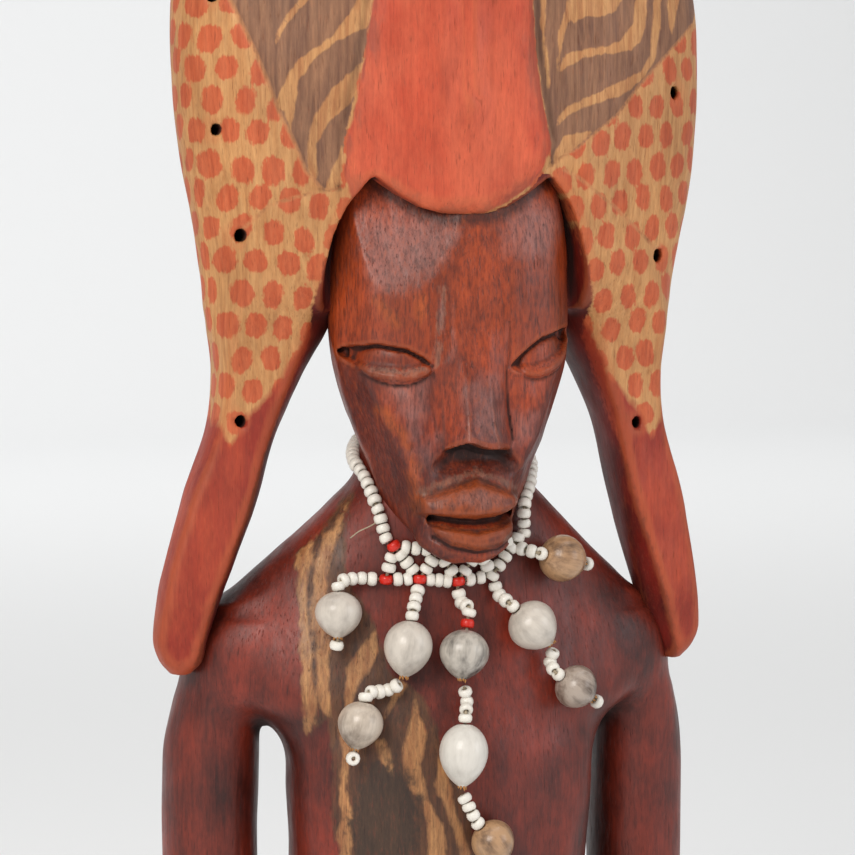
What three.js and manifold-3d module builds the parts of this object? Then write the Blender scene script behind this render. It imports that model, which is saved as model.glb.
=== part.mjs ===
// A carved and painted wooden half figure with a tall headdress, ear lobes that reach the shoulders,
// and a beaded necklace with five drops of seeds. Millimetres, +Z up, the figure faces -Y.
// The origin is at the middle of the flat underside of the plinth.
import * as THREE from "three";
import { LoftGeometry } from "three/addons/geometries/LoftGeometry.js";
import { mergeVertices } from "three/addons/utils/BufferGeometryUtils.js";
import Module from "manifold-3d";

const wasm = await Module();
wasm.setup();

// ---- driving dimensions ----
const beadRadius = 1.25;
const beadPitch = 1.85;
const threadRadius = 0.35;
const boreRadius = 0.72; // the hole through a seed or an end bead
const nodeGap = 0.32; // left between two pieces that touch on the real necklace
const restGap = 0.45; // left between the necklace and the wood
const netTrim = 2.3; // from a knot's middle to the ends of the strands that meet at it
const piercingRadius = 1.15;
const piercingDepth = 9;

// ---- the wood, as stacks of cross sections ----
// Each row: z, centre x, half width, front y, y of the widest line, back y, roundness, sweep.
// Roundness 2 is an ellipse and more is boxier. Sweep carries the sides back, as on shoulders.
const torso = [
  [12, 0, 43, -31, 0, 30, 2.3, 0],
  [24, 0, 42.5, -30.5, 0, 29.5, 2.3, 0],
  [42, 0, 40, -29.5, -1, 27, 2.2, 0],
  [58, 0, 36.5, -28.5, -2, 24, 2.2, 0],
  [72, 0, 32, -27.5, -4, 20, 2.2, 0],
  [84, 0, 28.6, -26.8, -6, 16, 2.2, 0],
  [95, 0, 28.3, -27.5, -8, 13.5, 2.3, 0],
  [106, 0, 28.9, -27.8, -9, 12.5, 2.4, 0],
  [114, 0, 29.4, -27.2, -9, 12.5, 2.4, 0],
  [119, 0, 33, -26.2, -8, 12.5, 2.3, 2],
  [124, 0, 42, -25, -6, 12.5, 2.2, 4],
  [130, 0, 46, -23.6, -5, 12, 2.2, 5],
  [137, 0, 43.5, -22.2, -5, 11, 2.2, 5],
  [144, 0, 37.5, -21.4, -6, 10, 2.1, 4],
  [150, 0, 31.3, -21.6, -7, 9, 2.1, 3],
  [155, 0, 26, -22, -8, 8, 2, 2],
  [160, 0, 20.8, -22.5, -8.5, 7, 2, 1],
  [165, 0, 16.4, -23, -9, 6, 2, 0],
  [172, 0, 15, -23, -9, 5.5, 2, 0],
  [186, 0, 15, -22, -8, 7, 2, 0],
];
const head = [
  [149.5, 0, 3.5, -31, -29.5, -28, 2, 0],
  [151, 0, 6.8, -31.8, -29, -26.8, 2, 0],
  [153.5, 0, 9, -32.2, -28, -25.2, 2, 0],
  [156.5, 0, 10.9, -32.2, -26, -22, 2, 0],
  [160.7, 0, 12.9, -31.6, -24, -12, 2.1, 0],
  [165, 0, 14.8, -30.8, -22.5, -4, 2.2, 0],
  [170, 0, 16.5, -30, -21, 2, 2.2, 0],
  [179, 0, 19.8, -29.5, -19.5, 6, 2.2, 0],
  [188, 0, 22, -30, -19, 8, 2.2, 0],
  [198, 0, 22.6, -30.3, -18, 10, 2.2, 0],
  [207, 0, 21.8, -29.3, -17, 10, 2.2, 0],
  [214, 0, 19.5, -27.5, -16, 8, 2.2, 0],
  [221, 0, 16, -25, -15, 5, 2.2, 0],
];
const nose = [
  [169.4, 0, 5.4, -33, -28, -24, 2, 0],
  [171.5, 0, 6.2, -34.8, -28, -24, 2, 0],
  [176, 0, 4.6, -34, -28, -24, 2, 0],
  [184, 0, 3.2, -32.3, -28, -24, 2, 0],
  [191, 0, 2.4, -30.6, -28, -24, 2, 0],
];
const upperLip = [
  [158.9, 0, 7.5, -33, -28, -22, 2, 0],
  [161, 0, 8.6, -34, -28, -22, 2, 0],
  [164, 0, 6, -32.4, -28, -22, 2, 0],
];
const lowerLip = [
  [154, 0, 5.5, -32.6, -28, -22, 2, 0],
  [156, 0, 7.6, -33.8, -28, -22, 2, 0],
  [158.3, 0, 7, -33, -28, -22, 2, 0],
];
const headdress = [
  [196, 0, 44.3, -22, -5, 14, 2, 0],
  [201, 0, 45.2, -25.5, -5, 17.5, 2, 0],
  [210, 0, 46.7, -27, -5, 19.5, 2, 0],
  [223, 0, 49, -28, -5, 21.5, 2, 0],
  [238, 0, 50.3, -28.5, -5, 22.5, 2, 0],
  [253, 0, 50, -28.5, -5, 22.5, 2, 0],
  [265, 0, 47.2, -27.5, -5, 21.5, 2, 0],
  [275, 0, 41.5, -25.5, -4.5, 19.5, 2, 0],
  [283, 0, 32.5, -22, -4, 16.5, 2, 0],
  [288, 0, 21, -16.5, -3.5, 12, 2, 0],
  [290, 0, 9, -9, -3, 5, 2, 0],
];
const plinth = [
  [0, 0, 51, -37, 0, 37, 2.5, 0],
  [1.5, 0, 52, -38, 0, 38, 2.5, 0],
  [11, 0, 52, -38, 0, 38, 2.5, 0],
  [12.8, 0, 50.4, -36.4, 0, 36.4, 2.5, 0],
];
// The right arm and the right ear lobe; the left ones are their mirror images.
const arm = [
  [33, 42.5, 3, -8, -4, 0, 2, 0],
  [36, 42.5, 4.2, -11, -4, 3, 2, 0],
  [45, 41.8, 5.6, -12.5, -3.5, 5.5, 2.2, 0],
  [55, 40.6, 6.4, -12, -2.5, 7, 2.2, 0],
  [66, 40.8, 7.4, -9.5, -1, 8, 2.1, 0],
  [80, 41.6, 8.7, -8.6, 1, 10.6, 2.1, 0],
  [95, 41.9, 9, -7.6, 2.5, 12.2, 2.1, 0],
  [112, 41.7, 9, -8.2, 2, 12, 2.1, 0],
  [126, 41.2, 9, -9.5, 1, 11, 2.1, 0],
  [134, 39.8, 8, -9.5, 0, 9.5, 2, 0],
  [139, 38, 4.5, -6, -1, 4, 2, 0],
];
const earLobe = [
  [128.5, 46.5, 1.8, -8, -5.5, -3, 2, 0],
  [131, 46.4, 4, -11, -5.5, -1, 2, 0],
  [135, 46.6, 5, -13, -5.5, 1.5, 1.9, 0],
  [146, 43.8, 6.7, -14.5, -5.5, 3.5, 1.8, 0],
  [161, 39.9, 7.4, -15, -5.5, 4.5, 1.8, 0],
  [174, 36.3, 6.9, -15, -5.5, 5, 1.8, 0],
  [184, 34.5, 8.3, -16, -5.5, 6.5, 1.8, 0],
  [195, 32.3, 11.7, -18, -5.5, 9, 1.9, 0],
  [203, 30.5, 13.5, -20, -5.5, 11, 2, 0],
];
const nicheMargin = 1; // the groove beside the face
const nicheBack = -18; // y of the groove's bottom
// The painted crest: a raised band down the middle of the headdress, with a rounded tip on the brow.
const crestRise = 3;
const crestEdge = [
  [-10, 292],
  [-13.2, 262],
  [-15.6, 242],
  [-18.8, 222],
  [-17.6, 218.2],
  [-13.9, 215.4],
  [-7.4, 213.9],
  [-0.6, 213.5],
  [5.4, 214.6],
  [10.6, 218],
  [15, 221.9],
  [18.4, 223],
  [15.2, 242],
  [13, 262],
  [10, 292],
];
// Ear piercings, drilled straight back: x, z.
const piercings = [
  [-43.8, 253],
  [-43.2, 229],
  [-38.9, 209.8],
  [-38.6, 175.8],
  [42.6, 256],
  [43.1, 236.3],
  [40.6, 205.9],
  [37.2, 174.4],
];

// ---- the necklace: x and z on the chest ----
// The knots of the net under the chin.
const knots = {
  red_1: [-11.4, 153],
  red_2: [-12.9, 146.9],
  red_3: [-7, 147],
  red_4: [0, 146.4],
  white_1: [-3.7, 152.2],
  white_2: [3.6, 152.2],
  white_3: [6.4, 147.3],
  white_4: [11.2, 154],
};
const netStrands = [
  ["red_1", "red_2"],
  ["red_1", "red_3"],
  ["red_1", "white_1"],
  ["red_2", "red_3"],
  ["white_1", "red_3"],
  ["white_1", "red_4"],
  ["white_1", "white_2"],
  ["red_3", "red_4"],
  ["white_2", "red_4"],
  ["white_2", "white_3"],
  ["red_4", "white_3"],
  ["white_2", "white_4"],
  ["white_3", "white_4"],
];
// The strand round the neck: degrees round from the front, z. The other side mirrors it.
const neckRoute = [
  [27.5, 154.6],
  [39.5, 159.8],
  [64, 165.2],
  [90, 168.6],
  [132, 171.4],
  [180, 172.4],
];
// Each drop is a chain of links, and a link is a strand of beads with a seed under it.
// A point is x, z and its height above the wood.
const drops = [
  {
    links: [
      {
        strand: [[-15.2, 146.9, 1.7], [-17.8, 147, 2.4]],
        seed: [[-20.6, 144.2, 4.7], [-21.5, 135.6, 4.6]],
        seedRadius: 4.3,
      },
    ],
    end: [-22, 133.6, 4],
  },
  {
    links: [
      {
        strand: [[-7.3, 144.7, 1.7]],
        seed: [[-9, 138.9, 4.6], [-10.8, 128.6, 4.4]],
        seedRadius: 4.3,
      },
      {
        strand: [[-11.6, 127.2, 3.6], [-14, 126.4, 2.6]],
        seed: [[-17.4, 124.4, 4.4], [-19, 115.7, 4.4]],
        seedRadius: 4.15,
      },
    ],
    end: [-19.4, 113.8, 4],
  },
  {
    redBead: true,
    links: [
      {
        strand: [[-0.2, 144, 1.7], [0.5, 142.2, 2.3]],
        seed: [[0.6, 137, 4.7], [-0.8, 127.8, 4.7]],
        seedRadius: 4.45,
      },
      {
        strand: [[0, 126.2, 3.8], [0.4, 124.2, 2.9]],
        seed: [[-0.6, 120, 4.7], [-1.6, 109.4, 4.6]],
        seedRadius: 4.35,
      },
      {
        strand: [[-1.2, 107.8, 3.6]],
        seed: [[1.9, 102.5, 4.5], [6.6, 96.3, 4.4]],
        seedRadius: 4,
      },
    ],
    end: [7.9, 95, 4],
  },
  {
    links: [
      {
        strand: [[6.9, 145.3, 1.7], [7.4, 143.6, 2.2]],
        seed: [[9.8, 140.4, 4.7], [16.2, 133.6, 4.7]],
        seedRadius: 4.55,
      },
      {
        strand: [[17.2, 132.2, 3.8], [16.6, 130.6, 2.8]],
        seed: [[18, 127.6, 4.3], [23.8, 123.6, 4.2]],
        seedRadius: 3.95,
      },
    ],
    end: [25.6, 122.8, 3.9],
  },
  {
    links: [
      {
        strand: [[10.9, 151.4, 1.9]],
        seed: [[14.9, 150.6, 4.6], [22.7, 147.9, 4.6]],
        seedRadius: 4.35,
      },
    ],
    end: [24.5, 147.4, 4.1],
  },
];

// ---- paints and materials ----
const finishes = {
  wood: { color: 0x6b2217, roughness: 0.45 },
  whiteGlass: { color: 0xece8de, roughness: 0.35 },
  redGlass: { color: 0xc8201a, roughness: 0.35 },
  seed: { color: 0xb9b3aa, roughness: 0.4 },
};
const materials = {};
for (const [name, finish] of Object.entries(finishes)) {
  materials[name] = new THREE.MeshStandardMaterial({ ...finish, metalness: 0 });
}

// ---- helpers ----
// The row of a stack at height z, by cubic interpolation between its rows.
function rowAt(stack, z) {
  const last = stack.length - 1;
  let i = 0;
  while (i < last - 1 && z > stack[i + 1][0]) {
    i += 1;
  }
  const [a, b] = [stack[i], stack[i + 1]];
  const [before, after] = [stack[Math.max(i - 1, 0)], stack[Math.min(i + 2, last)]];
  const step = b[0] - a[0];
  const t = THREE.MathUtils.clamp((z - a[0]) / step, 0, 1);
  return a.map((start, k) => {
    const slopeIn = ((b[k] - before[k]) / (b[0] - before[0])) * step;
    const slopeOut = ((after[k] - start) / (after[0] - a[0])) * step;
    const t2 = t * t;
    const t3 = t2 * t;
    return (
      (2 * t3 - 3 * t2 + 1) * start +
      (t3 - 2 * t2 + t) * slopeIn +
      (3 * t2 - 2 * t3) * b[k] +
      (t3 - t2) * slopeOut
    );
  });
}

// A point on a cross section; angle 0 is the front and a quarter turn is +X.
function onSection(row, angle) {
  const [z, x, halfWidth, front, wide, back, roundness, sweep] = row;
  const side = Math.sin(angle);
  const ahead = Math.cos(angle);
  const bend = 2 / roundness;
  const across = Math.sign(side) * Math.abs(side) ** bend;
  const reach = ahead > 0 ? front - wide : back - wide;
  const y = wide + reach * Math.abs(ahead) ** bend + sweep * across * across;
  return new THREE.Vector3(x + halfWidth * across, y, z);
}

// y of the torso's front at x, z.
function chestFront(x, z) {
  const [, , halfWidth, front, wide, , roundness, sweep] = rowAt(torso, z);
  const across = Math.min(Math.abs(x / halfWidth), 1);
  const depth = (1 - across ** roundness) ** (1 / roundness);
  return wide + (front - wide) * depth + sweep * across * across;
}

function chestNormal(x, z) {
  const d = 0.5;
  const slopeX = (chestFront(x + d, z) - chestFront(x - d, z)) / (2 * d);
  const slopeZ = (chestFront(x, z + d) - chestFront(x, z - d)) / (2 * d);
  return new THREE.Vector3(slopeX, -1, slopeZ).normalize();
}

// A point above the wood of the chest.
function overChest([x, z, height = beadRadius + restGap]) {
  const onWood = new THREE.Vector3(x, chestFront(x, z), z);
  return onWood.addScaledVector(chestNormal(x, z), height);
}

function loft(stack, around, step) {
  const [low, high] = [stack[0][0], stack[stack.length - 1][0]];
  const count = Math.max(2, Math.round((high - low) / step));
  const rings = [];
  for (let i = 0; i <= count; i += 1) {
    const row = rowAt(stack, low + ((high - low) * i) / count);
    const ring = [];
    for (let j = 0; j < around; j += 1) {
      ring.push(onSection(row, (j / around) * 2 * Math.PI));
    }
    rings.push(ring);
  }
  return new LoftGeometry(rings, { capStart: true, capEnd: true });
}

function mirrored(stack) {
  return stack.map(([z, x, ...rest]) => [z, -x, ...rest]);
}

function toSolid(geometry) {
  const bare = new THREE.BufferGeometry().copy(geometry);
  bare.deleteAttribute("normal");
  bare.deleteAttribute("uv");
  const merged = mergeVertices(bare, 1e-4);
  const mesh = new wasm.Mesh({
    numProp: 3,
    vertProperties: new Float32Array(merged.attributes.position.array),
    triVerts: new Uint32Array(merged.index.array),
  });
  return new wasm.Manifold(mesh);
}

function toGeometry(solid) {
  const { numProp, numVert, vertProperties, triVerts } = solid.getMesh();
  const positions = new Float32Array(numVert * 3);
  for (let i = 0; i < numVert; i += 1) {
    positions.set(vertProperties.subarray(i * numProp, i * numProp + 3), i * 3);
  }
  const geometry = new THREE.BufferGeometry();
  geometry.setAttribute("position", new THREE.BufferAttribute(positions, 3));
  geometry.setIndex(new THREE.BufferAttribute(new Uint32Array(triVerts), 1));
  geometry.computeVertexNormals();
  return geometry;
}

const group = new THREE.Group();

function addPart(name, geometry, material, userData = {}) {
  const mesh = new THREE.Mesh(geometry, materials[material]);
  mesh.name = name;
  mesh.userData = userData;
  group.add(mesh);
  return mesh;
}

// ---- the wood: one carved block ----
function carvedFigure() {
  const crestStack = headdress.map(([z, x, halfWidth, front, ...rest]) => {
    return [z, x, halfWidth, front - crestRise, ...rest];
  });
  const outline = new THREE.Shape(crestEdge.map(([x, z]) => new THREE.Vector2(x, z)));
  const crestCut = new THREE.ExtrudeGeometry(outline, { depth: 40, bevelEnabled: false });
  crestCut.rotateX(Math.PI / 2); // the outline's second axis becomes z, and it is extruded towards -Y
  crestCut.translate(0, -4, 0);
  const crest = toSolid(loft(crestStack, 28, 6)).intersect(toSolid(crestCut));

  const nicheStack = head.slice(4).map(([z, x, halfWidth]) => {
    return [z, x, halfWidth + nicheMargin, -60, -45, nicheBack, 6, 0];
  });
  let solid = toSolid(loft(headdress, 32, 6)).subtract(toSolid(loft(nicheStack, 20, 6)));

  const added = [
    [torso, 32, 5],
    [plinth, 32, 4.4],
    [head, 26, 4.5],
    [nose, 10, 5],
    [upperLip, 10, 2.6],
    [lowerLip, 10, 2.2],
    [arm, 16, 7],
    [mirrored(arm), 16, 7],
    [earLobe, 14, 6],
    [mirrored(earLobe), 14, 6],
  ];
  for (const [stack, around, step] of added) {
    solid = solid.add(toSolid(loft(stack, around, step)));
  }
  solid = solid.add(crest);

  for (const [x, z] of piercings) {
    const drill = new THREE.CylinderGeometry(piercingRadius, piercingRadius, 40, 8);
    const surface = z > 200 ? headdress : earLobe;
    const [, centre, halfWidth, front, wide] = rowAt(surface, z);
    const across = Math.min(Math.abs((Math.abs(x) - centre) / halfWidth), 0.98);
    const y = wide + (front - wide) * Math.sqrt(1 - across * across);
    drill.translate(x, y + piercingDepth - 20, z);
    solid = solid.subtract(toSolid(drill));
  }
  return toGeometry(solid);
}

// ---- beads, threads and seeds ----
// A strand of beads on a thread, as one loft: full at the middle of a bead and slim between two.
// A thread may run on past the last bead, from one given point to another.
function beadStrand(points, threadPoints = []) {
  const curve = new THREE.CatmullRomCurve3(points);
  const length = curve.getLength();
  const count = Math.max(1, Math.round(length / beadPitch));
  const slim = beadRadius * 0.62;
  const stations = [[0, slim]];
  for (let i = 0; i < count; i += 1) {
    stations.push([(i + 0.5) / count, beadRadius]);
    stations.push([(i + 1) / count, slim]);
  }
  const rings = [];
  const around = 6;
  let side = new THREE.Vector3(0.3, 1, 0.2);
  function ring(centre, along, radius) {
    side = side.clone().addScaledVector(along, -side.dot(along)).normalize();
    const up = new THREE.Vector3().crossVectors(along, side);
    const made = [];
    for (let j = 0; j < around; j += 1) {
      const angle = (j / around) * 2 * Math.PI;
      const out = side.clone().multiplyScalar(Math.cos(angle) * radius);
      made.push(out.addScaledVector(up, Math.sin(angle) * radius).add(centre));
    }
    rings.push(made);
  }
  for (const [share, radius] of stations) {
    ring(curve.getPointAt(share), curve.getTangentAt(share), radius);
  }
  if (threadPoints.length > 0) {
    const [start, end] = threadPoints;
    const along = end.clone().sub(start).normalize();
    ring(start, along, threadRadius);
    ring(end, along, threadRadius);
  }
  return new LoftGeometry(rings, { capStart: true, capEnd: true });
}

// A bored, turned piece: outline is [radius, height] from the bottom up.
function bored(outline, around) {
  const bottom = outline[0][1];
  const top = outline[outline.length - 1][1];
  const profile = [[boreRadius, bottom], ...outline, [boreRadius, top], [boreRadius, bottom]];
  return new THREE.LatheGeometry(profile.map(([r, h]) => new THREE.Vector2(r, h)), around);
}

// A seed is drawn to a tip at its foot, and round at the end where its strand comes in.
function seedGeometry(radius, length) {
  return bored(
    [
      [1, 0],
      [radius * 0.5, length * 0.1],
      [radius * 0.82, length * 0.28],
      [radius, length * 0.52],
      [radius * 0.95, length * 0.74],
      [radius * 0.68, length * 0.92],
      [radius * 0.34, length],
    ],
    12,
  );
}

function beadGeometry() {
  const half = beadPitch / 2;
  return bored(
    [
      [0.95, -half],
      [beadRadius, -half * 0.4],
      [beadRadius, half * 0.4],
      [0.95, half],
    ],
    8,
  );
}

// Stands a turned piece on the line from foot to head.
function stand(mesh, foot, headPoint) {
  const along = headPoint.clone().sub(foot).normalize();
  mesh.quaternion.setFromUnitVectors(new THREE.Vector3(0, 1, 0), along);
  mesh.position.copy(foot);
}

addPart("carved_figure", carvedFigure(), "wood");

// The strand round the neck, a little off the wood all the way.
const neckSide = neckRoute.map(([degrees, z]) => {
  const angle = THREE.MathUtils.degToRad(degrees);
  const row = rowAt(torso, z);
  const point = onSection(row, -angle);
  const out = new THREE.Vector3(point.x, point.y - row[4], 0).normalize();
  return point.addScaledVector(out, beadRadius + restGap);
});
const otherSide = neckSide.slice(0, -1).reverse();
const neckPoints = [...neckSide, ...otherSide.map((p) => new THREE.Vector3(-p.x, p.y, p.z))];
addPart("neck_strand", beadStrand(neckPoints), "whiteGlass");

for (const [name, place] of Object.entries(knots)) {
  const material = name.startsWith("red") ? "redGlass" : "whiteGlass";
  const centre = overChest(place);
  const knot = new THREE.SphereGeometry(beadRadius, 8, 6);
  knot.translate(centre.x, centre.y, centre.z);
  addPart("knot_bead_" + name, knot, material);
}

netStrands.forEach(([from, to], i) => {
  const [start, finish] = [overChest(knots[from]), overChest(knots[to])];
  const along = finish.clone().sub(start).normalize();
  start.addScaledVector(along, netTrim);
  finish.addScaledVector(along, -netTrim);
  const middle = start.clone().add(finish).multiplyScalar(0.5);
  addPart("net_strand_" + (i + 1), beadStrand([start, middle, finish]), "whiteGlass");
});

// The drops. A link turns about the middle of its first bead, away from the chest.
drops.forEach((drop, d) => {
  drop.links.forEach((link, k) => {
    const name = `drop_${d + 1}_link_${k + 1}`;
    const [top, tip] = link.seed.map(overChest);
    const down = tip.clone().sub(top).normalize();
    const red = drop.redBead && k === 0;
    const stop = red ? beadPitch + 2 * nodeGap : nodeGap;
    const points = [
      ...link.strand.map(overChest),
      top.clone().addScaledVector(down, -stop - beadPitch * 0.9),
      top.clone().addScaledVector(down, -stop),
    ];
    if (red) {
      const bead = addPart(`drop_${d + 1}_red_bead`, beadGeometry(), "redGlass");
      const middle = top.clone().addScaledVector(down, -nodeGap - beadPitch / 2);
      stand(bead, middle, top);
    }
    const threadStart = points[points.length - 1].clone().addScaledVector(down, 0.2);
    const threadEnd = tip.clone().addScaledVector(down, -0.4);
    const strandGeometry = beadStrand(points, [threadStart, threadEnd]);
    const pivot = points[0].clone().lerp(points[1], beadPitch / 2 / points[0].distanceTo(points[1]));
    const outward = chestNormal(link.strand[0][0], link.strand[0][1]);
    const line = tip.clone().sub(pivot).normalize();
    const hinge = { pivot, axis: line.cross(outward).normalize() };
    addPart(name + "_strand", strandGeometry, "whiteGlass", { hinge });
    const seed = addPart(name + "_seed", seedGeometry(link.seedRadius, top.distanceTo(tip)), "seed");
    stand(seed, tip, top);
  });
  const last = drop.links[drop.links.length - 1];
  const tip = overChest(last.seed[1]);
  const end = overChest(drop.end);
  const line = end.clone().sub(tip).normalize();
  const bead = addPart(`drop_${d + 1}_end_bead`, beadGeometry(), "whiteGlass");
  const middle = tip.clone().addScaledVector(line, beadPitch / 2 + nodeGap);
  stand(bead, middle, middle.clone().add(line));
});

export default group;
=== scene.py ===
# A carved and painted half figure with a tall headdress and a necklace of beads and seeds.
# Lengths are in millimetres up to the point where a mesh is made, and the figure faces -Y.
import math

import bmesh
import bpy
import numpy as np
import openvdb
from mathutils import Matrix, Quaternion, Vector


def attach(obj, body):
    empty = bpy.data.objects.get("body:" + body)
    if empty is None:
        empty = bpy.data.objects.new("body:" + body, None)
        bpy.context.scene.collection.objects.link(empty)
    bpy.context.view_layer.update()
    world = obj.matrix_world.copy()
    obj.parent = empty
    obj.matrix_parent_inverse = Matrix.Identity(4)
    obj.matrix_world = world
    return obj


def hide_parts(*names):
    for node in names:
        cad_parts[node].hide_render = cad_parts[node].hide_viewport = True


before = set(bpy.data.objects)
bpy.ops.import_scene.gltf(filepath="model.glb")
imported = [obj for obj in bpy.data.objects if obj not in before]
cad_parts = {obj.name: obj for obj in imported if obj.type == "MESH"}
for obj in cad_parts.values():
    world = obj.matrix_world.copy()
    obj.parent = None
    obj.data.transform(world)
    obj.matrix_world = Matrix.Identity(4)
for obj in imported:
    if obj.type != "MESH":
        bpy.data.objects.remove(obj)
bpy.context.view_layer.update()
mm = 0.001
rng = np.random.default_rng(7)

# camera, light and stage
camera = {
    "aim": (-3.85, -15.2, 174.2),
    "azimuth": -14.0,
    "elevation": 4.0,
    "distance": 600.0,
    "widthSeen": 158.33,
}
stage = {
    "colour": "#eaebec", "front": 3500.0, "depth": 2300.0, "height": 2200.0, "curve": 500.0, "width": 7000.0,
}


def linearColour(hexColour, alpha=1.0):
    out = []
    for i in (1, 3, 5):
        c = int(hexColour[i : i + 2], 16) / 255
        out.append(c / 12.92 if c <= 0.04045 else ((c + 0.055) / 1.055) ** 2.4)
    return (*out, alpha)


def addNode(tree, kind, inputs=None, **settings):
    node = tree.nodes.new("ShaderNode" + kind)
    for key, value in settings.items():
        setattr(node, key, value)
    for key, value in (inputs or {}).items():
        if isinstance(value, bpy.types.NodeSocket):
            tree.links.new(value, node.inputs[key])
        else:
            node.inputs[key].default_value = value
    return node


def setCamera():
    data = bpy.data.cameras.new("camera")
    obj = bpy.data.objects.new("camera", data)
    bpy.context.collection.objects.link(obj)
    turn, tilt = math.radians(camera["azimuth"]), math.radians(camera["elevation"])
    back = Vector((math.sin(turn) * math.cos(tilt), -math.cos(turn) * math.cos(tilt), math.sin(tilt)))
    obj.location = (Vector(camera["aim"]) + back * camera["distance"]) * mm
    obj.rotation_mode = "QUATERNION"
    obj.rotation_quaternion = (-back).to_track_quat("-Z", "Y")
    data.sensor_width = 36
    data.lens = 36 * camera["distance"] / camera["widthSeen"]
    data.clip_start, data.clip_end = 0.01, 20
    bpy.context.scene.camera = obj


def addLight(name, place, aim, size, watts, colour):
    data = bpy.data.lights.new(name, "AREA")
    data.shape = "RECTANGLE"
    data.size, data.size_y = size[0] * mm, size[1] * mm
    data.energy = watts
    data.color = linearColour(colour)[:3]
    obj = bpy.data.objects.new(name, data)
    bpy.context.collection.objects.link(obj)
    obj.location = Vector(place) * mm
    direction = Vector(aim) - Vector(place)
    obj.rotation_mode = "QUATERNION"
    obj.rotation_quaternion = direction.to_track_quat("-Z", "Y")


def setStage():
    # one sheet of paper: floor, a wide curve and a wall
    bm = bmesh.new()
    half = stage["width"] / 2
    line = [(-stage["front"], 0.0), (stage["depth"], 0.0)]
    for i in range(1, 13):
        angle = math.radians(90 * i / 12)
        line.append(
            (
                stage["depth"] + stage["curve"] * math.sin(angle),
                stage["curve"] * (1 - math.cos(angle)),
            )
        )
    line.append((stage["depth"] + stage["curve"], stage["curve"] + stage["height"]))
    previous = None
    for y, z in line:
        pair = [bm.verts.new((x * mm, y * mm, z * mm)) for x in (-half, half)]
        if previous:
            bm.faces.new((previous[0], previous[1], pair[1], pair[0]))
        previous = pair
    mesh = bpy.data.meshes.new("paper_sweep")
    bm.to_mesh(mesh)
    bm.free()
    mesh.shade_smooth()
    obj = bpy.data.objects.new("paper_sweep", mesh)
    bpy.context.collection.objects.link(obj)
    material = bpy.data.materials.new("matt_white_paper")
    material.use_nodes = True
    shader = material.node_tree.nodes["Principled BSDF"]
    shader.inputs["Base Color"].default_value = linearColour(stage["colour"])
    shader.inputs["Roughness"].default_value = 0.9
    mesh.materials.append(material)

    world = bpy.data.worlds.new("soft_room")
    bpy.context.scene.world = world
    world.use_nodes = True
    sky = world.node_tree.nodes["Background"]
    sky.inputs["Color"].default_value = linearColour("#fbfaf8")
    sky.inputs["Strength"].default_value = 0.62
    addLight("key_softbox", (-520, -620, 620), (0, -10, 170), (420, 420), 4.6, "#fffaf4")
    addLight("fill_softbox", (640, -520, 380), (0, -10, 170), (420, 520), 1.6, "#f6f8ff")
    addLight("top_softbox", (0, 60, 900), (0, 0, 150), (700, 500), 2.2, "#ffffff")
    addLight("paper_light", (0, 1500, 1500), (0, 2700, 250), (2600, 800), 16.0, "#ffffff")
    view = bpy.context.scene.view_settings
    view.view_transform = "Standard"
    view.look = "None"
    view.exposure, view.gamma = 0.0, 1.0


setCamera()
setStage()
print("camera, lights and stage set")

# carving: solids as distance fields on a grid, negative inside the wood


def openBlock(low, high, step):
    axes = [np.arange(a, b + step, step, dtype=np.float32) for a, b in zip(low, high)]
    return {
        "low": np.array(low, dtype=float),
        "step": step,
        "x": axes[0][:, None, None],
        "y": axes[1][None, :, None],
        "z": axes[2][None, None, :],
    }


def rowsAt(rows, heights):
    # the rows of a stack at the given heights, by cubic interpolation
    table = np.array(rows, dtype=float)
    z = table[:, 0]
    slope = np.empty_like(table)
    slope[1:-1] = (table[2:] - table[:-2]) / (z[2:] - z[:-2])[:, None]
    slope[0] = (table[1] - table[0]) / (z[1] - z[0])
    slope[-1] = (table[-1] - table[-2]) / (z[-1] - z[-2])
    i = np.clip(np.searchsorted(z, heights, side="right") - 1, 0, len(z) - 2)
    step = (z[i + 1] - z[i])[:, None]
    t = np.clip((heights - z[i])[:, None] / step, 0, 1)
    found = (
        (2 * t**3 - 3 * t**2 + 1) * table[i]
        + (t**3 - 2 * t**2 + t) * slope[i] * step
        + (3 * t**2 - 2 * t**3) * table[i + 1]
        + (t**3 - t**2) * slope[i + 1] * step
    )
    return found.T


def stackOf(block, rows, bothSides=False, endSoft=0.0):
    # each row: z, centre x, half width, front y, y of the widest line, back y, roundness, sweep
    x, y, z = block["x"], block["y"], block["z"]
    if bothSides:
        x = np.abs(x)
    heights = z[0, 0, :]
    columns = rowsAt(rows, heights)[1:, None, None, :].astype(np.float32)
    centre, half, front, wide, back, roundness, sweep = columns
    across = np.abs(x - centre) / half
    swept = y - sweep * np.minimum(across, 1) ** 2
    reach = np.where(swept < wide, wide - front, back - wide)
    depth = np.abs(swept - wide) / reach
    full = (across**roundness + depth**roundness) ** (1 / roundness)
    field = (full - 1) * np.minimum(half, reach)
    steep = np.sqrt(sum(g * g for g in np.gradient(field, block["step"])))
    field = field / np.clip(steep, 0.35, 3)
    ends = np.maximum(z - rows[-1][0], rows[0][0] - z)
    return cut(field, ends, endSoft)


def join(a, b, soft):
    h = np.clip(0.5 + 0.5 * (b - a) / soft, 0, 1)
    return b + (a - b) * h - soft * h * (1 - h)


def cut(field, tool, soft):
    # keeps what is inside both
    if np.isscalar(soft) and soft <= 0:
        return np.maximum(field, tool)
    h = np.clip(0.5 - 0.5 * (tool - field) / soft, 0, 1)
    return tool + (field - tool) * h + soft * h * (1 - h)


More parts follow.
